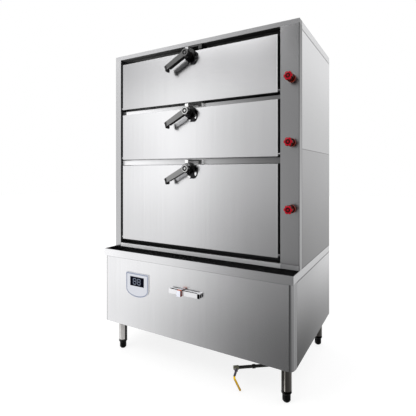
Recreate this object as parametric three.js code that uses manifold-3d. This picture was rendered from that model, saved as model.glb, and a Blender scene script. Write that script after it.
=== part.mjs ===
// Three-tier commercial electric steamer: a steam cabinet with three drop-down doors on a deeper base.
// Millimetres. X runs to the right as seen from the front, Y to the back and Z up from the floor.
// The origin is on the floor under the middle of the base.

import * as THREE from 'three';
import Module from 'manifold-3d';
import { mergeVertices } from 'three/addons/utils/BufferGeometryUtils.js';

const wasm = await Module();
wasm.setup();

// Overall envelope
const WIDTH = 1200;
const DEPTH = 800;
const HEIGHT = 1850;
const BASE_TOP = 630;
const BASE_UNDERSIDE = 185;
const LEDGE = 100;
const BACK_INSET = 30;
const FITTING_REACH = 36;

// Sheet metal and clearances
const SHEET = 1.5;
const FRAME_SHEET = 2;
const GAP = 0.3;
const SEAM = 2;
const CUT = 5;
const FLANGE = 25;

// Roundness of turned pieces, in sides
const SIDES = 14;
const FINE_SIDES = 18;
const SMALL_SIDES = 8;

// Face frame of the upper cabinet
const STILE_LEFT = 43;
const STILE_RIGHT = 96;
const RAIL = 24;
const FRAME_RETURN = 42;
const SEAT_DEPTH = 52;
const JAMB_DEPTH = 92;

// Doors
const TOP_DOOR_HEIGHT = 292;
const MIDDLE_DOOR_HEIGHT = 285;
const TOP_GAP = 32;
const UPPER_GAP = 32;
const LOWER_GAP = 37;
const SILL_GAP = 26;
const DOOR_SIDE_GAP = 14;
const DOOR_RECESS = 3.5;
const DOOR_THICKNESS = 40;
const SEAT_OVERLAP = 22;
const VENT_LENGTH = 60;
const VENT_WIDTH = 8;

// Hinge pins at the lower corners of each door
const PIN_RADIUS = 4;
const PIN_RISE = 12;
const PIN_SETBACK = 12;
const PIN_REACH = 5;
const PIN_CLEARANCE = 0.6;
const HINGE_BOSS_RADIUS = 7;
const HINGE_BOSS_CLEARANCE = 1.5;

// Door gaskets
const GASKET_INSET = 13;
const GASKET_WIDTH = 8;

// Steam chambers
const CHAMBER_FLANGE = 14;
const INSULATION = 38;
const RUNNER_WIDTH = 15;
const SKID_WIDTH = 16;
const SKID_SPREAD_SHARE = 0.35;

// Latches, measured from the lever's axis
const LATCH_DROP = 21;
const LATCH_PLATE = 5;
const LATCH_PLATE_LEFT = 34;
const LATCH_PLATE_RIGHT = 50;
const LATCH_PLATE_RISE = 16;
const LATCH_PLATE_FALL = 57;
const LATCH_TIP_OFFSET = 14;
const LATCH_TIP_RADIUS = 12;
const SPINDLE_RADIUS = 7;
const SPINDLE_CLEARANCE = 0.6;
const CAM_REACH = 36;
const CAM_THICKNESS = 8;
const CAM_HUB_RADIUS = 19;
const CAM_START_DEGREES = -30;
const CAM_END_DEGREES = 100;
const NECK_RADIUS = 15;
const LEVER_STANDOFF = 60;
const LEVER_THICKNESS = 15;
const LEVER_LENGTH = 145;
const LEVER_WIDTH = 31;
const LEVER_END_WIDTH = 27;
const LEVER_TILT_DEGREES = 27.5;
const LEVER_HUB_RADIUS = 22.5;
const LEVER_CUP_RADIUS = 14;
const LEVER_CUP_DEPTH = 6;
const LEVER_CAP_LENGTH = 9;
const LEVER_CAP_DEPTH = 26;

// Keepers that the latch cams turn into
const KEEPER_WIDTH = 112;
const KEEPER_OFFSET = 23;
const KEEPER_LUG = 22;
const KEEPER_SHEET = 3;
const KEEPER_LIP = 4;
const KEEPER_START = 3.5;
const KEEPER_MOUTH = 20;
const KEEPER_END = 28.5;

// Steam knobs and the manifold behind them
const KNOB_INSET = 40;
const TOP_KNOB_RISE = 62;
const MIDDLE_KNOB_RISE = 66;
const BOTTOM_KNOB_OFFSET = 14;
const KNOB_RADIUS = 22;
const KNOB_HEAD = 17;
const KNOB_DOME = 4;
const KNOB_WAIST_RADIUS = 13;
const KNOB_WAIST = 30;
const KNOB_FLANGE_RADIUS = 21;
const KNOB_FLANGE = 9;
const KNOB_STEM_RADIUS = 5;
const KNOB_STEM = 20;
const STEM_CLEARANCE = 0.8;
const SCALLOPS = 6;
const SCALLOP_RADIUS = 5;
const MANIFOLD_SETBACK = 130;
const RISER_RADIUS = 21;
const RISER_BORE = 18;
const BRANCH_RADIUS = 12;
const BRANCH_BORE = 9;
const STEAM_HOLES = 4;
const STEAM_HOLE_RADIUS = 1.7;
const STEAM_HOLE_RING = 5.5;
const BONNET_RADIUS = 14;

// Base deck with its rim and front gutter
const RIM_FRONT = 42;
const RIM_SIDE = 38;
const GUTTER_DEPTH = 38;
const GUTTER_SETBACK = 2;

// Base shell
const CORNER_FRONT = 22;
const CORNER_SIDE = 52;
const CORNER_TAB = 22;
const CORNER_STEPS = 8;
const LOUVRE_ROWS = 7;
const LOUVRE_LENGTH = 90;
const LOUVRE_WIDTH = 7;
const LOUVRE_PITCH = 20;

// Legs and levelling feet
const LEG_RADIUS = 25;
const LEG_LEFT_INSET = 84;
const LEG_RIGHT_INSET = 58;
const LEG_FRONT_INSET = 78;
const LEG_BACK_INSET = 63;
const LEG_FLANGE_RADIUS = 29;
const LEG_FLANGE = 2.7;
const LEG_WALL = 1.5;
const FOOT_HEIGHT = 46;
const FOOT_RADIUS = 20;
const FOOT_SOLE_RADIUS = 13;
const FOOT_SOLE_BEVEL = 8;
const FOOT_SHOULDER = 9;
const FOOT_COLLAR_RADIUS = 26;
const FOOT_COLLAR = 2;
const FOOT_PLUG = 40;
const FOOT_PLUG_CLEARANCE = 0.6;

// Control panel
const BEZEL_WIDTH = 168;
const BEZEL_HEIGHT = 140;
const BEZEL_ROUND = 45;
const BEZEL_THICKNESS = 6;
const BEZEL_INSET = 268.5;
const BEZEL_DROP = 119;
const BEZEL_BOX_MARGIN = 22;
const BEZEL_BOX_HEIGHT = 90;
const BEZEL_BOX_DEPTH = 40;
const BEZEL_BOX_CLEARANCE = 0.5;
const WINDOW_WIDTH = 105;
const WINDOW_HEIGHT = 55;
const WINDOW_DROP = 21;
const WINDOW_THICKNESS = 2.5;

// Power switch: a slider on a rail
const RAIL_LENGTH = 198;
const RAIL_HEIGHT = 25;
const RAIL_DEPTH = 20;
const RAIL_CENTRE_X = 8;
const RAIL_DROP = 187;
const GROOVE_WIDTH = 8;
const GROOVE_DEPTH = 6;
const GROOVE_END = 18;
const SLIDER_WIDTH = 24;
const SLIDER_HEIGHT = 33;
const SLIDER_OFFSET = -24;

// Water tank, heater and power module
const TANK_MODULE_CLEARANCE = 70;
const TANK_WALL_CLEARANCE = 8;
const TANK_FRONT_INSET = 170;
const TANK_BACK_INSET = 80;
const TANK_RISE = 145;
const TANK_DROP = 60;
const TANK_SHEET = 2;
const TANK_LEG = 20;
const COIL_RADIUS = 180;
const COIL_BORE = 60;
const COIL_THICKNESS = 14;
const COIL_STANDOFF = 12;
const COIL_PAD_RADIUS = 12;
const MODULE_WIDTH = 220;
const MODULE_DEPTH = 260;
const MODULE_HEIGHT = 210;
const MODULE_SHEET = 2;
const MODULE_OFFSET = 30;
const FAN_RADIUS = 58;
const FAN_DUCT_CLEARANCE = 2;
const FAN_HUB_RADIUS = 20;
const FAN_DEPTH = 22;
const FAN_BLADES = 5;
const FAN_BLADE_SHEET = 2;
const FAN_BLADE_PITCH_DEGREES = 35;
const FAN_SPOKE = 8;
const FAN_MOTOR = 26;

// Inlet float valve and cable gland
const INLET_INSET = 400;
const INLET_RISE = 60;
const INLET_RADIUS = 10;
const INLET_BORE = 6;
const INLET_NUT_RADIUS = 16;
const INLET_NUT = 10;
const INLET_TANK_REACH = 40;
const VALVE_BLOCK = 26;
const FLOAT_ARM_RADIUS = 3;
const FLOAT_ARM_LENGTH = 130;
const FLOAT_RADIUS = 35;
const FLOAT_DROP_DEGREES = 38;
const FLOAT_EYE_RADIUS = 8;
const FLOAT_EYE_WIDTH = 8;
const FLOAT_PIN_RADIUS = 3;
const GLAND_INSET = 180;
const GLAND_RISE = 90;
const GLAND_RADIUS = 12;
const GLAND_BORE = 7;
const GLAND_NUT_RADIUS = 17;
const GLAND_NUT = 8;
const GLAND_TAIL = 18;
const HEX_SIDES = 6;

// Drain
const DRAIN_INSET = 313;
const DRAIN_SETBACK = 37;
const DRAIN_FALL = 74;
const DRAIN_PIPE_RADIUS = 8;
const DRAIN_PIPE_BORE = 6;
const DRAIN_RUN = 266;
const DRAIN_HEADING_DEGREES = 37.7;
const DRAIN_NUT_RADIUS = 12;
const DRAIN_NUT = 14;
const DRAIN_NUT_PLACE = 98;
const DRAIN_HOLE_CLEARANCE = 4;
const DRAIN_VALVE_RADIUS = 12;
const DRAIN_VALVE_NOSE = 8;
const DRAIN_VALVE_TAIL = 18;
const DRAIN_STEM_RADIUS = 6;
const DRAIN_STEM = 24;
const DRAIN_LEVER_SHEET = 3;
const DRAIN_LEVER_EYE = 9;
const DRAIN_LEVER_NECK = 12;
const DRAIN_LEVER_BACK = 9;
const DRAIN_LEVER_FALL = 28;
const DRAIN_GRIP_RADIUS = 5.5;
const DRAIN_GRIP_LENGTH = 74;
const DRAIN_GRIP_LEAN = 30;

// Places that follow from the sizes above
const HALF_WIDTH = WIDTH / 2;
const FRONT = -DEPTH / 2;
const BACK = DEPTH / 2;
const FACE = FRONT + LEDGE;
const SEAT_Y = FACE + SEAT_DEPTH;
const JAMB_BACK = FACE + JAMB_DEPTH;
const DOOR_FRONT = FACE + DOOR_RECESS;
const DOOR_BACK = DOOR_FRONT + DOOR_THICKNESS;
const HINGE_Y = FACE + PIN_SETBACK;
const BACK_PANEL = BACK - BACK_INSET;
const SIDE_INNER = HALF_WIDTH - SHEET;
const GUTTER_FRONT = FRONT + FRAME_SHEET + SHEET;
const PANEL_FRONT = GUTTER_FRONT + GAP;
const PANEL_BACK = PANEL_FRONT + SHEET;
const PANEL_TOP = BASE_TOP - GUTTER_DEPTH - SHEET - GAP;
const FLOOR_UNDERSIDE = BASE_UNDERSIDE + SHEET + GAP;
const FLOOR_TOP = FLOOR_UNDERSIDE + SHEET;
const CORNER_X = HALF_WIDTH - CORNER_FRONT;
const CORNER_Y = PANEL_FRONT + CORNER_SIDE;
const FITTING_END = BACK + FITTING_REACH - (PANEL_FRONT - FRONT);
const LATCH_FACE = DOOR_FRONT - GAP - LATCH_PLATE;
const CAM_BACK = LATCH_FACE - GAP;
const CAM_FRONT = CAM_BACK - CAM_THICKNESS;
const LEVER_FRONT = DOOR_FRONT - LEVER_STANDOFF;
const KNOB_X = HALF_WIDTH - KNOB_INSET;
const MANIFOLD_Y = FACE + MANIFOLD_SETBACK;
const BEZEL_CENTRE_X = -HALF_WIDTH + BEZEL_INSET;
const BEZEL_TOP = BASE_TOP - BEZEL_DROP;
const BEZEL_FRONT = PANEL_FRONT - BEZEL_THICKNESS;
const SLIDER_FRONT = PANEL_FRONT - FITTING_REACH;
const RAIL_FRONT = PANEL_FRONT - RAIL_DEPTH;
const RAIL_BOTTOM = BASE_TOP - RAIL_DROP;
const MODULE_LEFT = -HALF_WIDTH + MODULE_OFFSET;
const TANK_LEFT = MODULE_LEFT + MODULE_WIDTH + TANK_MODULE_CLEARANCE;
const TANK_FRONT = FRONT + TANK_FRONT_INSET;
const TANK_BACK = BACK - TANK_BACK_INSET;
const TANK_BOTTOM = BASE_UNDERSIDE + TANK_RISE;
const TANK_TOP = BASE_TOP - TANK_DROP;
const INLET_X = HALF_WIDTH - INLET_INSET;
const GLAND_X = HALF_WIDTH - GLAND_INSET;
const DRAIN_X = HALF_WIDTH - DRAIN_INSET;
const DRAIN_HEIGHT = BASE_UNDERSIDE - DRAIN_FALL;

const opening = {
  left: -HALF_WIDTH + STILE_LEFT,
  right: HALF_WIDTH - STILE_RIGHT,
  bottom: BASE_TOP + RAIL,
  top: HEIGHT - RAIL,
};
const doorLeft = opening.left + DOOR_SIDE_GAP;
const doorRight = opening.right - DOOR_SIDE_GAP;
const doorCentre = (doorLeft + doorRight) / 2;

function doorSpan(name, top, height, knobRise) {
  return { name, left: doorLeft, right: doorRight, bottom: top - height, top, knobRise };
}

const topDoor = doorSpan('top', opening.top - TOP_GAP, TOP_DOOR_HEIGHT, TOP_KNOB_RISE);
const middleDoor = doorSpan('middle', topDoor.bottom - UPPER_GAP, MIDDLE_DOOR_HEIGHT, MIDDLE_KNOB_RISE);
const bottomTop = middleDoor.bottom - LOWER_GAP;
const bottomHeight = bottomTop - opening.bottom - SILL_GAP;
const bottomKnobRise = bottomHeight / 2 + BOTTOM_KNOB_OFFSET;
const bottomDoor = doorSpan('bottom', bottomTop, bottomHeight, bottomKnobRise);
const doors = [topDoor, middleDoor, bottomDoor];

// Finishes
const STEEL = { color: 0xc9cacb, roughness: 0.32, metalness: 1 };
const INNER_STEEL = { color: 0xb4b6b8, roughness: 0.4, metalness: 1 };
const POLISHED = { color: 0xdcdde0, roughness: 0.12, metalness: 1 };
const CAST = { color: 0x4a4c50, roughness: 0.45, metalness: 0.8 };
const LEVER_FINISH = { color: 0x85878b, roughness: 0.4, metalness: 0.9 };
const BLACK_PLASTIC = { color: 0x121214, roughness: 0.55, metalness: 0 };
const GASKET_FINISH = { color: 0x2c2c2e, roughness: 0.7, metalness: 0 };
const RED_PLASTIC = { color: 0xc4121f, roughness: 0.3, metalness: 0 };
const BEZEL_FINISH = { color: 0xdcdde8, roughness: 0.4, metalness: 0 };
const WINDOW_FINISH = { color: 0x07080c, roughness: 0.1, metalness: 0 };
const COPPER_FINISH = { color: 0xb44a1c, roughness: 0.3, metalness: 0.6 };
const BRASS = { color: 0xb5963e, roughness: 0.35, metalness: 1 };
const OLIVE_METAL = { color: 0x6f7064, roughness: 0.4, metalness: 0.9 };
const DARK_PIPE = { color: 0x2b2c28, roughness: 0.5, metalness: 0.7 };
const YELLOW_GRIP = { color: 0xe2a60c, roughness: 0.45, metalness: 0 };
const COIL_FINISH = { color: 0x8a4b2a, roughness: 0.6, metalness: 0.3 };
const ENAMEL = { color: 0x3c4046, roughness: 0.5, metalness: 0.4 };

// Turns a closed three.js geometry into a solid that can be cut and joined
function solidFrom(geometry) {
  const plain = geometry.clone();
  plain.deleteAttribute('normal');
  plain.deleteAttribute('uv');
  const merged = mergeVertices(plain);
  const index = merged.index.array;
  const kept = [];
  for (let i = 0; i < index.length; i += 3) {
    const [a, b, c] = [index[i], index[i + 1], index[i + 2]];
    if (a !== b && b !== c && c !== a) kept.push(a, b, c);
  }
  return new wasm.Manifold(new wasm.Mesh({
    numProp: 3,
    vertProperties: Float32Array.from(merged.attributes.position.array),
    triVerts: Uint32Array.from(kept),
  }));
}

function union(...solids) {
  return solids.flat().reduce((whole, next) => whole.add(next));
}

function cut(solid, ...tools) {
  return tools.flat().reduce((left, tool) => left.subtract(tool), solid);
}

// A box between two values on each axis
function block([x0, x1], [y0, y1], [z0, z1]) {
  const geometry = new THREE.BoxGeometry(x1 - x0, y1 - y0, z1 - z0);
  return solidFrom(geometry.translate((x0 + x1) / 2, (y0 + y1) / 2, (z0 + z1) / 2));
}

// A round or polygonal bar between two points, which may taper
function bar(from, to, radius, { endRadius = radius, sides = SIDES } = {}) {
  const axis = to.clone().sub(from);
  const geometry = new THREE.CylinderGeometry(endRadius, radius, axis.length(), sides);
  const turn = new THREE.Quaternion().setFromUnitVectors(new THREE.Vector3(0, 1, 0), axis.normalize());
  const middle = from.clone().add(to).multiplyScalar(1 / 2);
  return solidFrom(geometry.applyQuaternion(turn).translate(middle.x, middle.y, middle.z));
}

function point(x, y, z) {
  return new THREE.Vector3(x, y, z);
}

// A solid turned about a vertical axis from [radius, height] pairs given from the bottom up
function turned(profile, sides = SIDES) {
  const points = profile.map(([radius, height]) => new THREE.Vector2(radius, height));
  return solidFrom(new THREE.LatheGeometry(points, sides).rotateX(Math.PI / 2));
}

// A plate that faces the front: an outline in X and Z, between two values of Y
function facePlate(shape, front, back) {
  const geometry = new THREE.ExtrudeGeometry(shape, { depth: back - front, bevelEnabled: false });
  return solidFrom(geometry.rotateX(Math.PI / 2).translate(0, back, 0));
}

// A flat outline in X and Y, between two values of Z
function floorPlate(shape, bottom, top) {
  const geometry = new THREE.ExtrudeGeometry(shape, { depth: top - bottom, bevelEnabled: false });
  return solidFrom(geometry.translate(0, 0, bottom));
}

function polygon(points) {
  return new THREE.Shape(points.map(([x, y]) => new THREE.Vector2(x, y)));
}

function rectangle({ left, right, bottom, top }) {
  return polygon([[left, bottom], [right, bottom], [right, top], [left, top]]);
}

function grown(span, by) {
  return { left: span.left - by, right: span.right + by, bottom: span.bottom - by, top: span.top + by };
}

// A rectangular ring that faces the front
function ring(outer, inner, front, back) {
  const shape = rectangle(outer);
  shape.holes.push(rectangle(inner));
  return facePlate(shape, front, back);
}

const steamer = new THREE.Group();

function addPiece(name, solid, finish, place = point(0, 0, 0)) {
  const { vertProperties, triVerts, numProp } = solid.getMesh();
  const geometry = new THREE.BufferGeometry();
  geometry.setAttribute('position', new THREE.BufferAttribute(vertProperties, numProp));
  geometry.setIndex(new THREE.BufferAttribute(triVerts, 1));
  geometry.computeVertexNormals();
  const mesh = new THREE.Mesh(geometry, new THREE.MeshStandardMaterial(finish));
  mesh.name = name;
  mesh.position.copy(place);
  steamer.add(mesh);
}

// Upper cabinet

function seatOf(door) {
  return grown(door, -SEAT_OVERLAP);
}

function pinHeight(door) {
  return door.bottom + PIN_RISE;
}

function knobHeight(door) {
  return door.bottom + door.knobRise;
}

function faceFrame() {
  const outer = { left: -HALF_WIDTH, right: HALF_WIDTH, bottom: BASE_TOP + GAP, top: HEIGHT };
  const jamb = grown(opening, FRAME_SHEET);
  const seat = { ...seatOf(topDoor), bottom: seatOf(bottomDoor).bottom };
  const folded = union(
    ring(outer, opening, FACE, FACE + FRAME_SHEET),
    ring(outer, grown(outer, -FRAME_SHEET), FACE, FACE + FRAME_RETURN),
    ring(jamb, opening, FACE, SEAT_Y + FRAME_SHEET),
    ring(jamb, seat, SEAT_Y, SEAT_Y + FRAME_SHEET),
    ring(grown(seat, FRAME_SHEET), seat, SEAT_Y, JAMB_BACK),
  );
  const holes = doors.map((door) => union(
    bar(
      point(jamb.left - CUT, HINGE_Y, pinHeight(door)),
      point(jamb.right + CUT, HINGE_Y, pinHeight(door)),
      PIN_RADIUS + PIN_CLEARANCE,
      { sides: SMALL_SIDES },
    ),
    bar(
      point(KNOB_X, FACE - CUT, knobHeight(door)),
      point(KNOB_X, FACE + FRAME_SHEET + CUT, knobHeight(door)),
      KNOB_STEM_RADIUS + STEM_CLEARANCE,
      { sides: SMALL_SIDES },
    ),
  ));
  return cut(folded, holes);
}

// The channel between two chambers that both doors' gaskets press on
function crossbar(upper, lower) {
  const x = [seatOf(upper).left + GAP, seatOf(upper).right - GAP];
  const z = [seatOf(lower).top, seatOf(upper).bottom];
  const whole = block(x, [SEAT_Y, JAMB_BACK], z);
  const hollow = block(
    [x[0] - CUT, x[1] + CUT],
    [SEAT_Y + FRAME_SHEET, JAMB_BACK + CUT],
    [z[0] + FRAME_SHEET, z[1] - FRAME_SHEET],
  );
  return cut(whole, hollow);
}

// An open-fronted box with a seat flange, runner ledges, a steam diffuser and two skids to stand on
function chamber(door, restsOn, runnerShares) {
  const inner = seatOf(door);
  const outer = grown(inner, SHEET);
  const front = JAMB_BACK + GAP;
  const back = BACK_PANEL - SHEET - INSULATION;
  const shell = cut(
    block([outer.left, outer.right], [front, back], [outer.bottom, outer.top]),
    block([inner.left, inner.right], [front - CUT, back - SHEET], [inner.bottom, inner.top]),
  );
  const flange = ring(grown(outer, CHAMBER_FLANGE), inner, front, front + SHEET);
  const ledges = runnerShares.flatMap((share) => {
    const z = inner.bottom + (inner.top - inner.bottom) * share;
    const y = [front + CHAMBER_FLANGE, back - CHAMBER_FLANGE];
    return [
      block([inner.left - SHEET / 2, inner.left + RUNNER_WIDTH], y, [z, z + SHEET]),
      block([inner.right - RUNNER_WIDTH, inner.right + SHEET / 2], y, [z, z + SHEET]),
    ];
  });
  const centre = (inner.left + inner.right) / 2;
  const spread = (inner.right - inner.left) * SKID_SPREAD_SHARE;
  const skidY = [front + SKID_WIDTH, back - SKID_WIDTH];
  const skids = [centre - spread, centre + spread].map((x) => block(
    [x - SKID_WIDTH / 2, x + SKID_WIDTH / 2],
    skidY,
    [restsOn + GAP, outer.bottom + SHEET / 2],
  ));
  const diffuser = [];
  for (let hole = 0; hole < STEAM_HOLES; hole += 1) {
    const angle = 2 * Math.PI * hole / STEAM_HOLES;
    const y = MANIFOLD_Y + STEAM_HOLE_RING * Math.cos(angle);
    const z = knobHeight(door) + STEAM_HOLE_RING * Math.sin(angle);
    const mouth = point(inner.right - CUT, y, z);
    diffuser.push(bar(mouth, point(outer.right + CUT, y, z), STEAM_HOLE_RADIUS, { sides: HEX_SIDES }));
  }
  return cut(union(shell, flange, ledges, skids), diffuser);
}

function cabinetSide(side) {
  const x = [SIDE_INNER, HALF_WIDTH];
  const y = [FACE + FRAME_RETURN + SEAM, BACK];
  const z = [BASE_TOP + GAP, HEIGHT - RIM_SIDE - SEAM];
  const plate = union(
    block(x, y, z),
    block([HALF_WIDTH - FLANGE, HALF_WIDTH], [BACK - SHEET, BACK], z),
  );
  const lap = (z[0] + z[1]) / 2;
  const grooveX = [HALF_WIDTH - SHEET / 2, HALF_WIDTH + CUT];
  const groove = block(grooveX, [y[0] - CUT, y[1] + CUT], [lap, lap + SEAM]);
  return mirrored(cut(plate, groove), side);
}

// A solid drawn on the right-hand side, or its mirror image on the left
function mirrored(solid, side) {
  return side > 0 ? solid : solid.mirror([1, 0, 0]);
}

function cabinetBack() {
  return block(
    [-SIDE_INNER + GAP, SIDE_INNER - GAP],
    [BACK_PANEL - SHEET, BACK_PANEL],
    [BASE_TOP + GAP, HEIGHT - SHEET - GAP],
  );
}

function roofCover() {
  const y = [FACE + FRAME_RETURN + SEAM, BACK];
  const skirtZ = [HEIGHT - RIM_SIDE, HEIGHT];
  return union(
    block([-HALF_WIDTH, HALF_WIDTH], y, [HEIGHT - SHEET, HEIGHT]),
    block([SIDE_INNER, HALF_WIDTH], y, skirtZ),
    block([-HALF_WIDTH, -SIDE_INNER], y, skirtZ),
    block([-HALF_WIDTH, HALF_WIDTH], [BACK - SHEET, BACK], skirtZ),
  );
}

// Doors

function doorLeaf(door) {
  const shell = cut(
    block([door.left, door.right], [DOOR_FRONT, DOOR_BACK], [door.bottom, door.top]),
    block(
      [door.left + SHEET, door.right - SHEET],
      [DOOR_FRONT + SHEET, DOOR_BACK - SHEET],
      [door.bottom + SHEET, door.top - SHEET],
    ),
  );
  const middleY = (DOOR_FRONT + DOOR_BACK) / 2;
  const vents = [door.left + VENT_LENGTH, door.right - VENT_LENGTH * 2].map((x) => block(
    [x, x + VENT_LENGTH],
    [middleY - VENT_WIDTH / 2, middleY + VENT_WIDTH / 2],
    [door.bottom - CUT, door.bottom + SHEET + SHEET / 2],
  ));
  const hinges = [[door.left, opening.left], [door.right, opening.right]].map(([edge, jamb]) => {
    const out = Math.sign(jamb - edge);
    const root = point(edge - out * SHEET / 2, HINGE_Y, pinHeight(door));
    const bossEnd = point(jamb - out * HINGE_BOSS_CLEARANCE, HINGE_Y, pinHeight(door));
    const pinEnd = point(jamb + out * PIN_REACH, HINGE_Y, pinHeight(door));
    return union(
      bar(root, bossEnd, HINGE_BOSS_RADIUS, { sides: SMALL_SIDES }),
      bar(root, pinEnd, PIN_RADIUS, { sides: SMALL_SIDES }),
    );
  });
  return union(cut(shell, vents), hinges);
}

function gasket(door) {
  const outer = grown(door, -GASKET_INSET);
  return ring(outer, grown(outer, -GASKET_WIDTH), DOOR_BACK + GAP, SEAT_Y - GAP);
}

// Latches, drawn about the lever's axis, which runs along Y through the origin

function latchAxis(door) {
  return point(doorCentre, 0, door.top - LATCH_DROP);
}

function latchBase() {
  const shape = new THREE.Shape();
  shape.moveTo(-LATCH_PLATE_LEFT, LATCH_PLATE_RISE);
  shape.lineTo(-LATCH_PLATE_LEFT, -LATCH_PLATE_RISE);
  shape.quadraticCurveTo(
    -LATCH_PLATE_LEFT + LATCH_TIP_RADIUS,
    -LATCH_PLATE_FALL + LATCH_TIP_RADIUS,
    LATCH_TIP_OFFSET - LATCH_TIP_RADIUS,
    -LATCH_PLATE_FALL,
  );
  shape.lineTo(LATCH_TIP_OFFSET + LATCH_TIP_RADIUS, -LATCH_PLATE_FALL);
  shape.quadraticCurveTo(
    LATCH_PLATE_RIGHT,
    -LATCH_PLATE_FALL + LATCH_TIP_RADIUS,
    LATCH_PLATE_RIGHT,
    LATCH_PLATE_RISE - LATCH_TIP_RADIUS,
  );
  shape.lineTo(LATCH_PLATE_RIGHT - LATCH_TIP_RADIUS, LATCH_PLATE_RISE);
  const plate = facePlate(shape, LATCH_FACE, LATCH_FACE + LATCH_PLATE);
  const bore = bar(
    point(0, LATCH_FACE - CUT, 0),
    point(0, LATCH_FACE + LATCH_PLATE + CUT, 0),
    SPINDLE_RADIUS + SPINDLE_CLEARANCE,
    { sides: SIDES },
  );
  return cut(plate, bore);
}

function camShape() {
  const start = THREE.MathUtils.degToRad(CAM_START_DEGREES);
  const end = THREE.MathUtils.degToRad(CAM_END_DEGREES);
  const shape = new THREE.Shape();
  shape.moveTo(0, 0);
  shape.absarc(0, 0, CAM_REACH, start, end, false);
  return shape;
}

function armShape() {
  const hub = LEVER_WIDTH / 2;
  const end = LEVER_END_WIDTH / 2;
  return polygon([[0, hub], [-LEVER_LENGTH, end], [-LEVER_LENGTH, -end], [0, -hub]]);
}

function latchLever() {
  const backing = LEVER_FRONT + LEVER_THICKNESS;
  const cam = union(
    facePlate(camShape(), CAM_FRONT, CAM_BACK),
    bar(point(0, CAM_FRONT, 0), point(0, CAM_BACK, 0), CAM_HUB_RADIUS),
    bar(point(0, CAM_FRONT, 0), point(0, LATCH_FACE + LATCH_PLATE, 0), SPINDLE_RADIUS),
  );
  const neck = bar(
    point(0, CAM_BACK, 0),
    point(0, LEVER_FRONT + SHEET, 0),
    CAM_HUB_RADIUS,
    { endRadius: NECK_RADIUS },
  );
  const capX = [-LEVER_LENGTH - LEVER_CAP_LENGTH, -LEVER_LENGTH + SHEET];
  const capY = [LEVER_FRONT + SHEET, LEVER_FRONT + LEVER_CAP_DEPTH];
  const arm = union(
    facePlate(armShape(), LEVER_FRONT, backing),
    block(capX, capY, [-LEVER_END_WIDTH / 2, LEVER_END_WIDTH / 2]),
  ).rotate([0, -LEVER_TILT_DEGREES, 0]);
  const hub = bar(
    point(0, LEVER_FRONT, 0),
    point(0, backing, 0),
    LEVER_HUB_RADIUS,
    { sides: FINE_SIDES },
  );
  const cupEnd = point(0, LEVER_FRONT + LEVER_CUP_DEPTH, 0);
  const cup = bar(point(0, LEVER_FRONT - CUT, 0), cupEnd, LEVER_CUP_RADIUS);
  return cut(union(cam, neck, arm, hub), cup);
}

// Drawn about the latch axis in X and the door's top edge in Z
function keeper() {
  const x = [KEEPER_OFFSET - KEEPER_WIDTH / 2, KEEPER_OFFSET + KEEPER_WIDTH / 2];
  const z = [KEEPER_START, KEEPER_END];
  const whole = block(x, [FACE - KEEPER_LIP, SEAT_Y - GAP], z);
  const hollow = block(
    [x[0] + KEEPER_SHEET, x[1] - KEEPER_SHEET],
    [FACE, SEAT_Y - GAP - KEEPER_SHEET],
    [z[0] - CUT, z[1] + CUT],
  );
  const mouth = block(
    [x[0] + KEEPER_LUG, x[1] - KEEPER_LUG],
    [FACE - KEEPER_LIP - CUT, FACE + CUT],
    [z[0] - CUT, KEEPER_MOUTH],
  );
  return cut(whole, hollow, mouth);
}

// Steam knobs and manifold

// Drawn about its own axis with the stile's face at Y = 0
function steamKnob() {
  const flange = -GAP - KNOB_FLANGE;
  const waist = flange - KNOB_WAIST;
  const rim = waist - KNOB_HEAD;
  const head = union(
    bar(point(0, waist, 0), point(0, rim, 0), KNOB_RADIUS, { sides: FINE_SIDES }),
    bar(point(0, rim, 0), point(0, rim - KNOB_DOME, 0), KNOB_RADIUS, {
      endRadius: KNOB_WAIST_RADIUS,
      sides: FINE_SIDES,
    }),
  );
  const scallops = Array.from({ length: SCALLOPS }, (_, i) => {
    const angle = 2 * Math.PI * (i + 1 / 2) / SCALLOPS;
    const [x, z] = [Math.cos(angle) * KNOB_RADIUS, Math.sin(angle) * KNOB_RADIUS];
    return bar(point(x, waist + CUT, z), point(x, rim - KNOB_DOME - CUT, z), SCALLOP_RADIUS, {
      sides: HEX_SIDES,
    });
  });
  return union(
    cut(head, scallops),
    bar(point(0, flange + SHEET, 0), point(0, waist - SHEET, 0), KNOB_WAIST_RADIUS),
    bar(point(0, -GAP, 0), point(0, flange, 0), KNOB_FLANGE_RADIUS),
    bar(point(0, KNOB_STEM, 0), point(0, flange, 0), KNOB_STEM_RADIUS, { sides: SMALL_SIDES }),
  );
}

function steamManifold() {
  const bottom = TANK_TOP + GAP;
  const top = knobHeight(topDoor) + RISER_RADIUS * 2;
  const wall = seatOf(topDoor).right + SHEET + GAP;
  const stileBack = FACE + FRAME_SHEET + GAP;
  const pipes = [bar(point(KNOB_X, MANIFOLD_Y, bottom), point(KNOB_X, MANIFOLD_Y, top), RISER_RADIUS)];
  const bores = [bar(
    point(KNOB_X, MANIFOLD_Y, bottom - CUT),
    point(KNOB_X, MANIFOLD_Y, top - FRAME_SHEET),
    RISER_BORE,
  )];
  for (const door of doors) {
    const z = knobHeight(door);
    const centre = point(KNOB_X, MANIFOLD_Y, z);
    pipes.push(bar(centre, point(wall, MANIFOLD_Y, z), BRANCH_RADIUS));
    pipes.push(bar(centre, point(KNOB_X, stileBack, z), BONNET_RADIUS));
    bores.push(bar(centre, point(wall - CUT, MANIFOLD_Y, z), BRANCH_BORE));
    bores.push(bar(
      point(KNOB_X, stileBack - CUT, z),
      point(KNOB_X, FACE + KNOB_STEM + GAP + CUT, z),
      KNOB_STEM_RADIUS + STEM_CLEARANCE,
      { sides: SMALL_SIDES },
    ));
  }
  return cut(union(pipes), bores);
}

// Base shell

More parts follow.
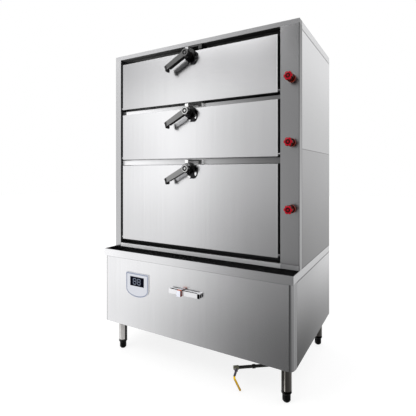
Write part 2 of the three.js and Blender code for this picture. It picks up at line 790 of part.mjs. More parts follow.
function baseDeck() {
  const rim = BASE_TOP - RIM_SIDE;
  const x = [-HALF_WIDTH, HALF_WIDTH];
  const gutterX = [-SIDE_INNER + SHEET, SIDE_INNER - SHEET];
  const gutterY = [GUTTER_FRONT, FACE - GUTTER_SETBACK];
  const plate = block(x, [FRONT, BACK], [BASE_TOP - SHEET, BASE_TOP]);
  const skirts = [
    block(x, [FRONT, FRONT + FRAME_SHEET], [BASE_TOP - RIM_FRONT, BASE_TOP]),
    block([SIDE_INNER, HALF_WIDTH], [FRONT, BACK], [rim, BASE_TOP]),
    block([-HALF_WIDTH, -SIDE_INNER], [FRONT, BACK], [rim, BASE_TOP]),
    block(x, [BACK - SHEET, BACK], [rim, BASE_TOP]),
  ];
  const trough = block(
    [gutterX[0] - SHEET, gutterX[1] + SHEET],
    [gutterY[0] - SHEET, gutterY[1] + SHEET],
    [BASE_TOP - GUTTER_DEPTH - SHEET, BASE_TOP],
  );
  const hollow = block(gutterX, gutterY, [BASE_TOP - GUTTER_DEPTH, BASE_TOP + CUT]);
  const riserHole = bar(
    point(KNOB_X, MANIFOLD_Y, BASE_TOP - SHEET - CUT),
    point(KNOB_X, MANIFOLD_Y, BASE_TOP + CUT),
    RISER_RADIUS + SEAM,
  );
  return cut(union(plate, skirts, trough), hollow, riserHole);
}

function bezelBox(margin) {
  const half = BEZEL_WIDTH / 2 - BEZEL_BOX_MARGIN + margin;
  const top = BEZEL_TOP - BEZEL_BOX_MARGIN / 2;
  return {
    left: BEZEL_CENTRE_X - half,
    right: BEZEL_CENTRE_X + half,
    bottom: top - BEZEL_BOX_HEIGHT - margin,
    top: top + margin,
  };
}

function baseFrontPanel() {
  const x = [-CORNER_X, CORNER_X];
  const plate = block(x, [PANEL_FRONT, PANEL_BACK], [BASE_UNDERSIDE, PANEL_TOP]);
  const flange = block(x, [PANEL_FRONT, PANEL_FRONT + FLANGE], [BASE_UNDERSIDE, BASE_UNDERSIDE + SHEET]);
  const hole = facePlate(rectangle(bezelBox(BEZEL_BOX_CLEARANCE)), PANEL_FRONT - CUT, PANEL_BACK + CUT);
  return cut(union(plate, flange), hole);
}

// A formed strip that rounds the corner between the front panel and the side panel
function baseCorner(side) {
  const x0 = CORNER_X + SEAM / 2;
  const y1 = CORNER_Y;
  const radiusX = HALF_WIDTH - x0;
  const radiusY = y1 - PANEL_FRONT;
  const outline = [];
  for (let i = 0; i <= CORNER_STEPS; i += 1) {
    const angle = (Math.PI / 2) * (i / CORNER_STEPS);
    outline.push([x0 + radiusX * Math.sin(angle), y1 - radiusY * Math.cos(angle)]);
  }
  for (let i = CORNER_STEPS; i >= 0; i -= 1) {
    const angle = (Math.PI / 2) * (i / CORNER_STEPS);
    outline.push([
      x0 + (radiusX - SHEET) * Math.sin(angle),
      y1 - (radiusY - SHEET) * Math.cos(angle),
    ]);
  }
  const strip = floorPlate(polygon(outline), BASE_UNDERSIDE, PANEL_TOP);
  const z = [FLOOR_TOP + GAP, PANEL_TOP];
  const tab = union(
    block([x0, x0 + SHEET], [PANEL_FRONT + SHEET / 2, PANEL_BACK + GAP + SHEET], z),
    block([x0 - CORNER_TAB, x0 + SHEET], [PANEL_BACK + GAP, PANEL_BACK + GAP + SHEET], z),
  );
  return mirrored(union(strip, tab), side);
}

function baseSide(side) {
  const x = [SIDE_INNER, HALF_WIDTH];
  const y = [CORNER_Y + SEAM, BACK];
  const z = [BASE_UNDERSIDE, BASE_TOP - RIM_SIDE - SEAM];
  const plate = union(
    block(x, y, z),
    block([HALF_WIDTH - FLANGE, HALF_WIDTH], y, [BASE_UNDERSIDE, BASE_UNDERSIDE + SHEET]),
    block([HALF_WIDTH - FLANGE, HALF_WIDTH], [BACK - SHEET, BACK], z),
  );
  return mirrored(plate, side);
}

function fittingHole(x, z, radius) {
  return bar(
    point(x, BACK_PANEL - SHEET - CUT, z),
    point(x, BACK_PANEL + CUT, z),
    radius,
  );
}

function inletHeight() {
  return TANK_TOP - INLET_RISE;
}

function glandHeight() {
  return FLOOR_TOP + GLAND_RISE;
}

function moduleCentreX() {
  return MODULE_LEFT + MODULE_WIDTH / 2;
}

function baseBackPanel() {
  const plate = block(
    [-SIDE_INNER + GAP, SIDE_INNER - GAP],
    [BACK_PANEL - SHEET, BACK_PANEL],
    [FLOOR_TOP + GAP, BASE_TOP - SHEET - GAP],
  );
  const slots = [];
  for (let row = 0; row < LOUVRE_ROWS; row += 1) {
    const z = FLOOR_TOP + LOUVRE_PITCH * (row + 1);
    for (const x of [moduleCentreX() - LOUVRE_LENGTH - LOUVRE_WIDTH, moduleCentreX() + LOUVRE_WIDTH]) {
      slots.push(block(
        [x, x + LOUVRE_LENGTH],
        [BACK_PANEL - SHEET - CUT, BACK_PANEL + CUT],
        [z, z + LOUVRE_WIDTH],
      ));
    }
  }
  return cut(
    plate,
    slots,
    fittingHole(INLET_X, inletHeight(), INLET_RADIUS + GAP),
    fittingHole(GLAND_X, glandHeight(), GLAND_RADIUS + GAP),
  );
}

function drainHeading() {
  const angle = THREE.MathUtils.degToRad(DRAIN_HEADING_DEGREES);
  return point(Math.cos(angle), Math.sin(angle), 0);
}

function drainCentre() {
  return point(DRAIN_X, FRONT + DRAIN_SETBACK, DRAIN_HEIGHT);
}

function drainElbow() {
  return drainCentre().addScaledVector(drainHeading(), DRAIN_RUN);
}

function baseFloor() {
  const z = [FLOOR_UNDERSIDE, FLOOR_TOP];
  const inner = CORNER_X - CORNER_TAB - SEAM;
  const plate = union(
    block([-SIDE_INNER + GAP, SIDE_INNER - GAP], [CORNER_Y + SEAM, BACK_PANEL], z),
    block([-inner, inner], [PANEL_BACK + GAP, CORNER_Y + SEAM + CUT], z),
  );
  const elbow = drainElbow();
  const hole = bar(
    point(elbow.x, elbow.y, z[0] - CUT),
    point(elbow.x, elbow.y, z[1] + CUT),
    DRAIN_PIPE_RADIUS + DRAIN_HOLE_CLEARANCE,
  );
  return cut(plate, hole);
}

// Legs and levelling feet, drawn about their own axis from the floor up

function leg() {
  const bottom = FOOT_HEIGHT + FOOT_COLLAR + GAP;
  const top = FLOOR_UNDERSIDE - GAP;
  const tube = union(
    bar(point(0, 0, bottom), point(0, 0, top), LEG_RADIUS),
    bar(point(0, 0, top - LEG_FLANGE), point(0, 0, top), LEG_FLANGE_RADIUS),
  );
  return cut(tube, bar(point(0, 0, bottom - CUT), point(0, 0, top - LEG_FLANGE), LEG_RADIUS - LEG_WALL));
}

function foot() {
  const plug = LEG_RADIUS - LEG_WALL - FOOT_PLUG_CLEARANCE;
  return turned([
    [0, 0],
    [FOOT_SOLE_RADIUS, 0],
    [FOOT_RADIUS, FOOT_SOLE_BEVEL],
    [FOOT_RADIUS, FOOT_HEIGHT - FOOT_SHOULDER],
    [FOOT_COLLAR_RADIUS, FOOT_HEIGHT],
    [FOOT_COLLAR_RADIUS, FOOT_HEIGHT + FOOT_COLLAR],
    [plug, FOOT_HEIGHT + FOOT_COLLAR],
    [plug, FOOT_HEIGHT + FOOT_PLUG],
    [0, FOOT_HEIGHT + FOOT_PLUG],
  ]);
}

const legPlaces = [
  { name: 'front_left', x: -HALF_WIDTH + LEG_LEFT_INSET, y: FRONT + LEG_FRONT_INSET },
  { name: 'front_right', x: HALF_WIDTH - LEG_RIGHT_INSET, y: FRONT + LEG_FRONT_INSET },
  { name: 'back_left', x: -HALF_WIDTH + LEG_LEFT_INSET, y: BACK - LEG_BACK_INSET },
  { name: 'back_right', x: HALF_WIDTH - LEG_RIGHT_INSET, y: BACK - LEG_BACK_INSET },
];

// Control panel and power switch

// A flat-topped shield with a round bottom
function bezelShape() {
  const half = BEZEL_WIDTH / 2;
  const shoulder = BEZEL_TOP - BEZEL_HEIGHT + BEZEL_ROUND;
  const shape = new THREE.Shape();
  shape.moveTo(BEZEL_CENTRE_X + half, shoulder);
  shape.lineTo(BEZEL_CENTRE_X + half, BEZEL_TOP);
  shape.lineTo(BEZEL_CENTRE_X - half, BEZEL_TOP);
  shape.lineTo(BEZEL_CENTRE_X - half, shoulder);
  shape.absellipse(BEZEL_CENTRE_X, shoulder, half, BEZEL_ROUND, Math.PI, 2 * Math.PI, false, 0);
  return shape;
}

function windowSpan() {
  return {
    left: BEZEL_CENTRE_X - WINDOW_WIDTH / 2,
    right: BEZEL_CENTRE_X + WINDOW_WIDTH / 2,
    bottom: BEZEL_TOP - WINDOW_DROP - WINDOW_HEIGHT,
    top: BEZEL_TOP - WINDOW_DROP,
  };
}

function controlBezel() {
  const plate = facePlate(bezelShape(), BEZEL_FRONT - GAP, PANEL_FRONT - GAP);
  const box = facePlate(rectangle(bezelBox(0)), PANEL_FRONT - SHEET, PANEL_FRONT + BEZEL_BOX_DEPTH);
  const recess = facePlate(
    rectangle(windowSpan()),
    BEZEL_FRONT - GAP - CUT,
    BEZEL_FRONT + WINDOW_THICKNESS,
  );
  return cut(union(plate, box), recess);
}

function displayWindow() {
  return facePlate(
    rectangle(grown(windowSpan(), -GAP)),
    BEZEL_FRONT - GAP,
    BEZEL_FRONT + WINDOW_THICKNESS - GAP,
  );
}

function switchRail() {
  const x = [RAIL_CENTRE_X - RAIL_LENGTH / 2, RAIL_CENTRE_X + RAIL_LENGTH / 2];
  const top = RAIL_BOTTOM + RAIL_HEIGHT;
  const grooveY = (RAIL_FRONT + PANEL_FRONT) / 2;
  const body = block(x, [RAIL_FRONT, PANEL_FRONT - GAP], [RAIL_BOTTOM, top]);
  const groove = block(
    [x[0] + GROOVE_END / 2, x[1] - GROOVE_END],
    [grooveY - GROOVE_WIDTH / 2, grooveY + GROOVE_WIDTH / 2],
    [top - GROOVE_DEPTH, top + CUT],
  );
  return cut(body, groove);
}

// The slider wraps the front, top and bottom of the rail
function switchSlider() {
  const x = RAIL_CENTRE_X + SLIDER_OFFSET;
  const z = RAIL_BOTTOM + RAIL_HEIGHT / 2;
  const whole = block(
    [x - SLIDER_WIDTH / 2, x + SLIDER_WIDTH / 2],
    [SLIDER_FRONT, PANEL_FRONT - SEAM],
    [z - SLIDER_HEIGHT / 2, z + SLIDER_HEIGHT / 2],
  );
  const channel = block(
    [x - SLIDER_WIDTH / 2 - CUT, x + SLIDER_WIDTH / 2 + CUT],
    [RAIL_FRONT - GAP, PANEL_FRONT + CUT],
    [RAIL_BOTTOM - GAP, RAIL_BOTTOM + RAIL_HEIGHT + GAP],
  );
  return cut(whole, channel);
}

// Inside the base

function tankSpans(inset) {
  return [
    [TANK_LEFT + inset, SIDE_INNER - TANK_WALL_CLEARANCE - inset],
    [TANK_FRONT + inset, TANK_BACK - inset],
    [TANK_BOTTOM + inset, TANK_TOP - inset],
  ];
}

function waterTank() {
  const [x, y, z] = tankSpans(0);
  const shell = cut(block(x, y, z), block(...tankSpans(TANK_SHEET)));
  const legs = [x[0], x[1] - TANK_LEG].flatMap((legX) => [y[0], y[1] - TANK_LEG].map((legY) => block(
    [legX, legX + TANK_LEG],
    [legY, legY + TANK_LEG],
    [FLOOR_TOP + GAP, z[0] + TANK_SHEET / 2],
  )));
  const elbow = drainElbow();
  const holes = [
    bar(
      point(KNOB_X, MANIFOLD_Y, z[1] - TANK_SHEET - CUT),
      point(KNOB_X, MANIFOLD_Y, z[1] + CUT),
      RISER_BORE,
    ),
    bar(
      point(elbow.x, elbow.y, z[0] - CUT),
      point(elbow.x, elbow.y, z[0] + TANK_SHEET + CUT),
      DRAIN_PIPE_BORE,
      { sides: SMALL_SIDES },
    ),
    bar(
      point(INLET_X, y[1] - TANK_SHEET - CUT, inletHeight()),
      point(INLET_X, y[1] + CUT, inletHeight()),
      INLET_RADIUS + GAP,
    ),
  ];
  return cut(union(shell, legs), holes);
}

function coilCentre() {
  const [x, y] = tankSpans(0);
  return [(x[0] + x[1]) / 2, (y[0] + y[1]) / 2];
}

// A flat ring of windings hung under the tank on four pads
function inductionCoil() {
  const [x, y] = coilCentre();
  const top = TANK_BOTTOM - COIL_STANDOFF;
  const disc = bar(point(x, y, top - COIL_THICKNESS), point(x, y, top), COIL_RADIUS, { sides: FINE_SIDES });
  const bore = bar(point(x, y, top - COIL_THICKNESS - CUT), point(x, y, top + CUT), COIL_BORE);
  const reach = (COIL_RADIUS + COIL_BORE) / 2;
  const pads = [[reach, 0], [-reach, 0], [0, reach], [0, -reach]].map(([dx, dy]) => bar(
    point(x + dx, y + dy, top - SHEET),
    point(x + dx, y + dy, TANK_BOTTOM - GAP),
    COIL_PAD_RADIUS,
    { sides: SMALL_SIDES },
  ));
  return union(cut(disc, bore), pads);
}

function moduleSpans() {
  const x = MODULE_LEFT;
  const back = BACK_PANEL - SHEET - MODULE_OFFSET;
  return [
    [x, x + MODULE_WIDTH],
    [back - MODULE_DEPTH, back],
    [FLOOR_TOP + GAP, FLOOR_TOP + GAP + MODULE_HEIGHT],
  ];
}

function fanCentre() {
  const [x, y, z] = moduleSpans();
  return point((x[0] + x[1]) / 2, y[1] - MODULE_SHEET - FAN_DEPTH, (z[0] + z[1]) / 2);
}

// A steel box with a fan opening in its back and a motor boss on a cross-strut behind the opening
function powerModule() {
  const [x, y, z] = moduleSpans();
  const fan = fanCentre();
  const shell = cut(block(x, y, z), block(
    [x[0] + MODULE_SHEET, x[1] - MODULE_SHEET],
    [y[0] + MODULE_SHEET, y[1] - MODULE_SHEET],
    [z[0] + MODULE_SHEET, z[1] - MODULE_SHEET],
  ));
  const airway = (from, to) => bar(
    point(fan.x, from, fan.z),
    point(fan.x, to, fan.z),
    FAN_RADIUS + FAN_DUCT_CLEARANCE,
    { sides: FINE_SIDES },
  );
  const motorY = [fan.y - GAP - FAN_MOTOR, fan.y - GAP];
  const strut = block(
    [fan.x - FAN_SPOKE, fan.x + FAN_SPOKE],
    [motorY[0], motorY[0] + FAN_SPOKE],
    [z[0] + MODULE_SHEET / 2, z[1] - MODULE_SHEET / 2],
  );
  const motor = bar(point(fan.x, motorY[0], fan.z), point(fan.x, motorY[1], fan.z), FAN_HUB_RADIUS);
  const vented = cut(shell, airway(fan.y, y[1] + CUT), airway(y[0] - CUT, y[0] + MODULE_SHEET + CUT));
  return union(vented, strut, motor);
}

// Drawn about its own axis, which runs along Y from the motor side back
function fanRotor() {
  const hub = bar(point(0, 0, 0), point(0, FAN_DEPTH, 0), FAN_HUB_RADIUS);
  const blades = Array.from({ length: FAN_BLADES }, (_, i) => block(
    [FAN_HUB_RADIUS - FAN_BLADE_SHEET, FAN_RADIUS - FAN_BLADE_SHEET],
    [-FAN_DEPTH / 2 + FAN_BLADE_SHEET, FAN_DEPTH / 2 - FAN_BLADE_SHEET],
    [-FAN_BLADE_SHEET / 2, FAN_BLADE_SHEET / 2],
  )
    .rotate([FAN_BLADE_PITCH_DEGREES, 0, 0])
    .translate([0, FAN_DEPTH / 2, 0])
    .rotate([0, THREE.MathUtils.radToDeg(2 * Math.PI * i / FAN_BLADES), 0]));
  return union(hub, blades);
}

function floatPivot() {
  return point(INLET_X, TANK_BACK - INLET_TANK_REACH - VALVE_BLOCK, inletHeight());
}

// A threaded tail behind the cabinet, a pipe through the tank wall and the float valve's block
function inletValve() {
  const z = inletHeight();
  const pivot = floatPivot();
  const blockY = [pivot.y - FLOAT_EYE_RADIUS, pivot.y + VALVE_BLOCK];
  const half = VALVE_BLOCK / 2;
  const pipe = bar(point(INLET_X, blockY[1] - SHEET, z), point(INLET_X, FITTING_END, z), INLET_RADIUS);
  const nuts = [BACK_PANEL + GAP, TANK_BACK + GAP].map((y) => bar(
    point(INLET_X, y, z),
    point(INLET_X, y + INLET_NUT, z),
    INLET_NUT_RADIUS,
    { sides: HEX_SIDES },
  ));
  const body = block([INLET_X - half, INLET_X + half], blockY, [z - half, z + half]);
  const slot = block(
    [INLET_X - FLOAT_EYE_WIDTH / 2 - GAP, INLET_X + FLOAT_EYE_WIDTH / 2 + GAP],
    [blockY[0] - CUT, pivot.y + FLOAT_EYE_RADIUS + GAP],
    [z - half - CUT, z + half + CUT],
  );
  const pinHole = bar(
    point(INLET_X - half - CUT, pivot.y, z),
    point(INLET_X + half + CUT, pivot.y, z),
    FLOAT_PIN_RADIUS + PIN_CLEARANCE,
    { sides: SMALL_SIDES },
  );
  const boreStart = point(INLET_X, blockY[1] - half / 2, z);
  const bore = bar(boreStart, point(INLET_X, FITTING_END + CUT, z), INLET_BORE, { sides: SMALL_SIDES });
  return cut(union(pipe, nuts, body), slot, pinHole, bore);
}

// The float arm, drawn about its pin, which runs along X through the origin
function floatArm() {
  const angle = THREE.MathUtils.degToRad(FLOAT_DROP_DEGREES);
  const end = point(0, -Math.cos(angle), -Math.sin(angle)).multiplyScalar(FLOAT_ARM_LENGTH);
  const pinHalf = VALVE_BLOCK / 2;
  const eyeHalf = FLOAT_EYE_WIDTH / 2;
  const round = { sides: SMALL_SIDES };
  const ball = new THREE.SphereGeometry(FLOAT_RADIUS, SIDES, SMALL_SIDES);
  return union(
    bar(point(-eyeHalf, 0, 0), point(eyeHalf, 0, 0), FLOAT_EYE_RADIUS, round),
    bar(point(-pinHalf, 0, 0), point(pinHalf, 0, 0), FLOAT_PIN_RADIUS, round),
    bar(point(0, 0, 0), end, FLOAT_ARM_RADIUS, round),
    solidFrom(ball.translate(end.x, end.y, end.z)),
  );
}

function cableGland() {
  const z = glandHeight();
  const at = (y) => point(GLAND_X, y, z);
  const start = BACK_PANEL - SHEET - GLAND_TAIL;
  const nut = BACK_PANEL + GAP;
  const dome = FITTING_END - GLAND_NUT;
  const body = union(
    bar(at(start), at(FITTING_END), GLAND_RADIUS),
    bar(at(nut), at(nut + GLAND_NUT), GLAND_NUT_RADIUS, { sides: HEX_SIDES }),
    bar(at(dome - GLAND_NUT), at(dome), GLAND_NUT_RADIUS, { endRadius: GLAND_RADIUS }),
  );
  return cut(body, bar(at(start - CUT), at(FITTING_END + CUT), GLAND_BORE, { sides: SMALL_SIDES }));
}

// Drain

function drainPipe() {
  const centre = drainCentre();
  const heading = drainHeading();
  const elbow = drainElbow();
  const start = centre.clone().addScaledVector(heading, DRAIN_VALVE_TAIL + GAP);
  const end = elbow.clone().addScaledVector(heading, DRAIN_PIPE_RADIUS);
  const nutStart = centre.clone().addScaledVector(heading, DRAIN_NUT_PLACE - DRAIN_NUT / 2);
  const nutEnd = centre.clone().addScaledVector(heading, DRAIN_NUT_PLACE + DRAIN_NUT / 2);
  const top = point(elbow.x, elbow.y, TANK_BOTTOM - GAP);
  const foot = point(elbow.x, elbow.y, elbow.z - DRAIN_PIPE_RADIUS);
  const pipe = union(
    bar(start, end, DRAIN_PIPE_RADIUS, { sides: SMALL_SIDES }),
    bar(foot, top, DRAIN_PIPE_RADIUS, { sides: SMALL_SIDES }),
    bar(nutStart, nutEnd, DRAIN_NUT_RADIUS, { sides: HEX_SIDES }),
  );
  const mouth = start.clone().addScaledVector(heading, -CUT);
  return cut(
    pipe,
    bar(mouth, elbow, DRAIN_PIPE_BORE, { sides: SMALL_SIDES }),
    bar(elbow, top.clone().setZ(top.z + CUT), DRAIN_PIPE_BORE, { sides: SMALL_SIDES }),
  );
}

// Across the pipe, towards the front
function drainStemAxis() {
  const heading = drainHeading();
  return point(heading.y, -heading.x, 0);
}

function drainValve() {
  const centre = drainCentre();
  const heading = drainHeading();
  const along = (distance) => centre.clone().addScaledVector(heading, distance);
  const stemEnd = centre.clone().addScaledVector(drainStemAxis(), DRAIN_STEM);
  const body = union(
    bar(along(-DRAIN_VALVE_NOSE), along(DRAIN_VALVE_TAIL), DRAIN_VALVE_RADIUS, { sides: HEX_SIDES }),
    bar(centre, stemEnd, DRAIN_STEM_RADIUS, { sides: SMALL_SIDES }),
  );
  const bore = bar(
    along(-DRAIN_VALVE_NOSE - CUT),
    along(DRAIN_VALVE_TAIL + CUT),
    DRAIN_PIPE_BORE,
    { sides: SMALL_SIDES },
  );
  return cut(body, bore);
}

// The lever and its grip are drawn in the plane of X and Z about the stem, then turned across the pipe
function acrossPipe(solid) {
  return solid.rotate([0, 0, DRAIN_HEADING_DEGREES]);
}

function drainPivot() {
  return drainCentre().addScaledVector(drainStemAxis(), DRAIN_STEM + GAP);
}

function drainLever() {
  const half = DRAIN_LEVER_NECK / 2;
  const neck = polygon([
    [-half, 0],
    [-DRAIN_LEVER_BACK - half, -DRAIN_LEVER_FALL],
    [-DRAIN_LEVER_BACK + half, -DRAIN_LEVER_FALL],
    [half, 0],
  ]);
  const plate = union(
    facePlate(neck, -DRAIN_LEVER_SHEET, 0),
    bar(point(0, -DRAIN_LEVER_SHEET, 0), point(0, 0, 0), DRAIN_LEVER_EYE),
  );
  return acrossPipe(plate);
}

function drainGrip() {
  const middle = -DRAIN_LEVER_SHEET / 2;
  const top = point(-DRAIN_LEVER_BACK, middle, -DRAIN_LEVER_FALL - GAP);
  const bend = point(-DRAIN_LEVER_BACK, middle, -DRAIN_LEVER_FALL - DRAIN_LEVER_NECK);
  const end = point(DRAIN_GRIP_LEAN - DRAIN_LEVER_BACK, middle, -DRAIN_LEVER_FALL - DRAIN_GRIP_LENGTH);
  const knuckle = new THREE.SphereGeometry(DRAIN_GRIP_RADIUS, SMALL_SIDES, SMALL_SIDES / 2);
  const grip = union(
    bar(top, bend, DRAIN_GRIP_RADIUS, { sides: SMALL_SIDES }),
    solidFrom(knuckle.translate(bend.x, bend.y, bend.z)),
    bar(bend, end, DRAIN_GRIP_RADIUS, { sides: SMALL_SIDES }),
  );
  return acrossPipe(grip);
}

// Assembly

addPiece('base_front_panel', baseFrontPanel(), STEEL);
addPiece('base_side_left', baseSide(-1), STEEL);
addPiece('base_side_right', baseSide(1), STEEL);
addPiece('base_corner_left', baseCorner(-1), STEEL);
addPiece('base_corner_right', baseCorner(1), STEEL);
addPiece('base_back_panel', baseBackPanel(), STEEL);
addPiece('base_floor', baseFloor(), INNER_STEEL);
addPiece('base_deck', baseDeck(), STEEL);

for (const { name, x, y } of legPlaces) {
  addPiece(`leg_${name}`, leg(), STEEL, point(x, y, 0));
  addPiece(`foot_${name}`, foot(), BLACK_PLASTIC, point(x, y, 0));
}

addPiece('control_bezel', controlBezel(), BEZEL_FINISH);
addPiece('display_window', displayWindow(), WINDOW_FINISH);
addPiece('switch_rail', switchRail(), POLISHED);
addPiece('switch_slider', switchSlider(), COPPER_FINISH);

addPiece('water_tank', waterTank(), INNER_STEEL);
addPiece('induction_coil', inductionCoil(), COIL_FINISH);
addPiece('power_module', powerModule(), ENAMEL);
addPiece('fan_rotor', fanRotor(), BLACK_PLASTIC, fanCentre());
addPiece('inlet_valve', inletValve(), BRASS);
addPiece('float_arm', floatArm(), BRASS, floatPivot());
addPiece('cable_gland', cableGland(), BLACK_PLASTIC);

addPiece('drain_pipe', drainPipe(), DARK_PIPE);
addPiece('drain_valve', drainValve(), OLIVE_METAL);
addPiece('drain_lever', drainLever(), POLISHED, drainPivot());
addPiece('drain_grip', drainGrip(), YELLOW_GRIP, drainPivot());

addPiece('cabinet_side_left', cabinetSide(-1), STEEL);
addPiece('cabinet_side_right', cabinetSide(1), STEEL);
addPiece('cabinet_back', cabinetBack(), STEEL);
addPiece('roof_cover', roofCover(), STEEL);
addPiece('face_frame', faceFrame(), STEEL);
addPiece('crossbar_upper', crossbar(topDoor, middleDoor), STEEL);
addPiece('crossbar_lower', crossbar(middleDoor, bottomDoor), STEEL);
addPiece('steam_manifold', steamManifold(), INNER_STEEL);

const chamberFloors = {
  top: seatOf(middleDoor).top + SHEET,
  middle: seatOf(bottomDoor).top + SHEET,
  bottom: BASE_TOP,
};
const runnerShares = { top: [1 / 2], middle: [1 / 2], bottom: [1 / 3, 2 / 3] };

for (const door of doors) {
  const oven = chamber(door, chamberFloors[door.name], runnerShares[door.name]);
  addPiece(`chamber_${door.name}`, oven, INNER_STEEL);
  addPiece(`door_${door.name}`, doorLeaf(door), STEEL);
  addPiece(`gasket_${door.name}`, gasket(door), GASKET_FINISH);
  addPiece(`latch_base_${door.name}`, latchBase(), CAST, latchAxis(door));
  addPiece(`latch_lever_${door.name}`, latchLever(), LEVER_FINISH, latchAxis(door));
  addPiece(`keeper_${door.name}`, keeper(), POLISHED, point(doorCentre, 0, door.top));
  addPiece(`steam_knob_${door.name}`, steamKnob(), RED_PLASTIC, point(KNOB_X, FACE, knobHeight(door)));
}

export default steamer;
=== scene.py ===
# Three-door commercial steamer: dresses the CAD frame for the studio picture.
import math
from types import SimpleNamespace

import bmesh
import bpy
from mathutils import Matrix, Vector


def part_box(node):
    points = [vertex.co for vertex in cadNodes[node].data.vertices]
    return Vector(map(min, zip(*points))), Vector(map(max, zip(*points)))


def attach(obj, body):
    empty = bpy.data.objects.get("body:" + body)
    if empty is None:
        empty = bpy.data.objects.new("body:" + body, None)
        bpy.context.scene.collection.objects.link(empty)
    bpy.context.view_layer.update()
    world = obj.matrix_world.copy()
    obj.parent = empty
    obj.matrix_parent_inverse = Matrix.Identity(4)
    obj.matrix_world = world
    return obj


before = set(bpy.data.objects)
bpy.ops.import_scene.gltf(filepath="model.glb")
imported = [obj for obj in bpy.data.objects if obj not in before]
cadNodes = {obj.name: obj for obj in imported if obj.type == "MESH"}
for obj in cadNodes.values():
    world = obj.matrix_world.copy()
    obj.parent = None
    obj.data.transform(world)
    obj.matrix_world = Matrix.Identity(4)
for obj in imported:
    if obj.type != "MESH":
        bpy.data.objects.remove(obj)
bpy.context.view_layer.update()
mm = 0.001
far = 2.0  # beyond the cabinet on any side
steel = (0.62, 0.62, 0.63)
tiers = ("top", "middle", "bottom")
print("frame loaded:", len(cadNodes), "nodes")


def tiered(kind):
    return tuple(f"{kind}_{tier}" for tier in tiers)


# where a CAD node's box begins and ends
def sides(node):
    low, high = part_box(node)
    return SimpleNamespace(left=low.x, right=high.x, front=low.y, back=high.y, bottom=low.z, top=high.z,
                           middleX=(low.x + high.x) / 2, middleY=(low.y + high.y) / 2,
                           middleZ=(low.z + high.z) / 2)


doors = {tier: sides(f"door_{tier}") for tier in tiers}
faceFrame = sides("face_frame")
deck = sides("base_deck")
jambs = (doors["top"].left + 5 * mm, doors["top"].right - 5 * mm)

# a level camera, where the photograph was taken from
camera = {"place": (1.0674, -1.9906, 1.108), "tilt": 90, "turn": 30, "lens": 30.57, "sensor": 36,
          "rise": -0.0868}


def makeCamera():
    data = bpy.data.cameras.new("photoCamera")
    data.lens = camera["lens"]
    data.sensor_width = camera["sensor"]
    data.shift_y = camera["rise"]
    eye = bpy.data.objects.new("photoCamera", data)
    eye.location = camera["place"]
    eye.rotation_euler = (math.radians(camera["tilt"]), 0, math.radians(camera["turn"]))
    bpy.context.scene.collection.objects.link(eye)
    bpy.context.scene.camera = eye
    bpy.context.scene.view_settings.view_transform = "Standard"
    bpy.context.scene.view_settings.look = "None"


makeCamera()

# node helpers


def put(tree, kind, **values):
    node = tree.nodes.new(kind)
    for name, value in values.items():
        setattr(node, name, value)
    return node


def feed(tree, socket, value):
    if isinstance(value, bpy.types.NodeSocket):
        tree.links.new(value, socket)
    else:
        socket.default_value = value


def setSockets(node, values):
    for label, value in values.items():
        node.inputs[label].default_value = value


def grey(tone):
    return tone, tone, tone, 1


def calc(tree, operation, first, second=None, third=None):
    node = put(tree, "ShaderNodeMath", operation=operation)
    for socket, value in zip(node.inputs, (first, second, third)):
        if value is not None:
            feed(tree, socket, value)
    return node.outputs[0]


def mixValue(tree, share, first, second):
    node = put(tree, "ShaderNodeMix", data_type="FLOAT")
    feed(tree, node.inputs["Factor"], share)
    feed(tree, node.inputs["A"], first)
    feed(tree, node.inputs["B"], second)
    return node.outputs["Result"]


def greyRamp(tree, place, stops):
    node = put(tree, "ShaderNodeValToRGB")
    node.color_ramp.interpolation = "EASE"
    elements = node.color_ramp.elements
    while len(elements) > 1:
        elements.remove(elements[-1])
    elements[0].position, tone = stops[0]
    elements[0].color = grey(tone)
    for position, tone in stops[1:]:
        elements.new(position).color = grey(tone)
    feed(tree, node.inputs[0], place)
    return node.outputs[0]


# a smooth rise from 0 to 1 while the value goes from low to high
def span(tree, value, low, high):
    node = put(tree, "ShaderNodeMapRange", interpolation_type="SMOOTHSTEP")
    for socket, number in zip(node.inputs, (value, low, high)):
        feed(tree, socket, number)
    return node.outputs[0]


def separate(tree, vector):
    node = put(tree, "ShaderNodeSeparateXYZ")
    feed(tree, node.inputs[0], vector)
    return node.outputs


def scaleTone(tree, tone, share):
    node = put(tree, "ShaderNodeVectorMath", operation="SCALE")
    feed(tree, node.inputs[0], tone)
    feed(tree, node.inputs["Scale"], share)
    return node.outputs[0]


def noise(tree, place, scale, detail=2):
    node = put(tree, "ShaderNodeTexNoise", noise_dimensions="3D")
    feed(tree, node.inputs["Vector"], place)
    feed(tree, node.inputs["Scale"], scale)
    feed(tree, node.inputs["Detail"], detail)
    return node.outputs["Fac"]


noiseMiddle = 0.5


def vary(tree, pattern, amount, base):
    return calc(tree, "MULTIPLY_ADD", calc(tree, "SUBTRACT", pattern, noiseMiddle), amount, base)


skinOutputs = (("Colour", "NodeSocketColor"), ("Roughness", "NodeSocketFloat"),
               ("Height", "NodeSocketFloat"))


def socketKind(value):
    if isinstance(value, tuple):
        return "NodeSocketColor" if len(value) == 4 else "NodeSocketVector"
    return "NodeSocketFloat"


def newGroup(name, inputs, outputs):
    tree = bpy.data.node_groups.new(name, "ShaderNodeTree")
    for label, value in inputs.items():
        socket = tree.interface.new_socket(label, in_out="INPUT", socket_type=socketKind(value))
        socket.default_value = value
    for label, kind in outputs:
        tree.interface.new_socket(label, in_out="OUTPUT", socket_type=kind)
    return tree, put(tree, "NodeGroupInput").outputs, put(tree, "NodeGroupOutput").inputs


def newPaint(name):
    paint = bpy.data.materials.new(name)
    paint.use_nodes = True
    return paint, paint.node_tree, paint.node_tree.nodes["Principled BSDF"]


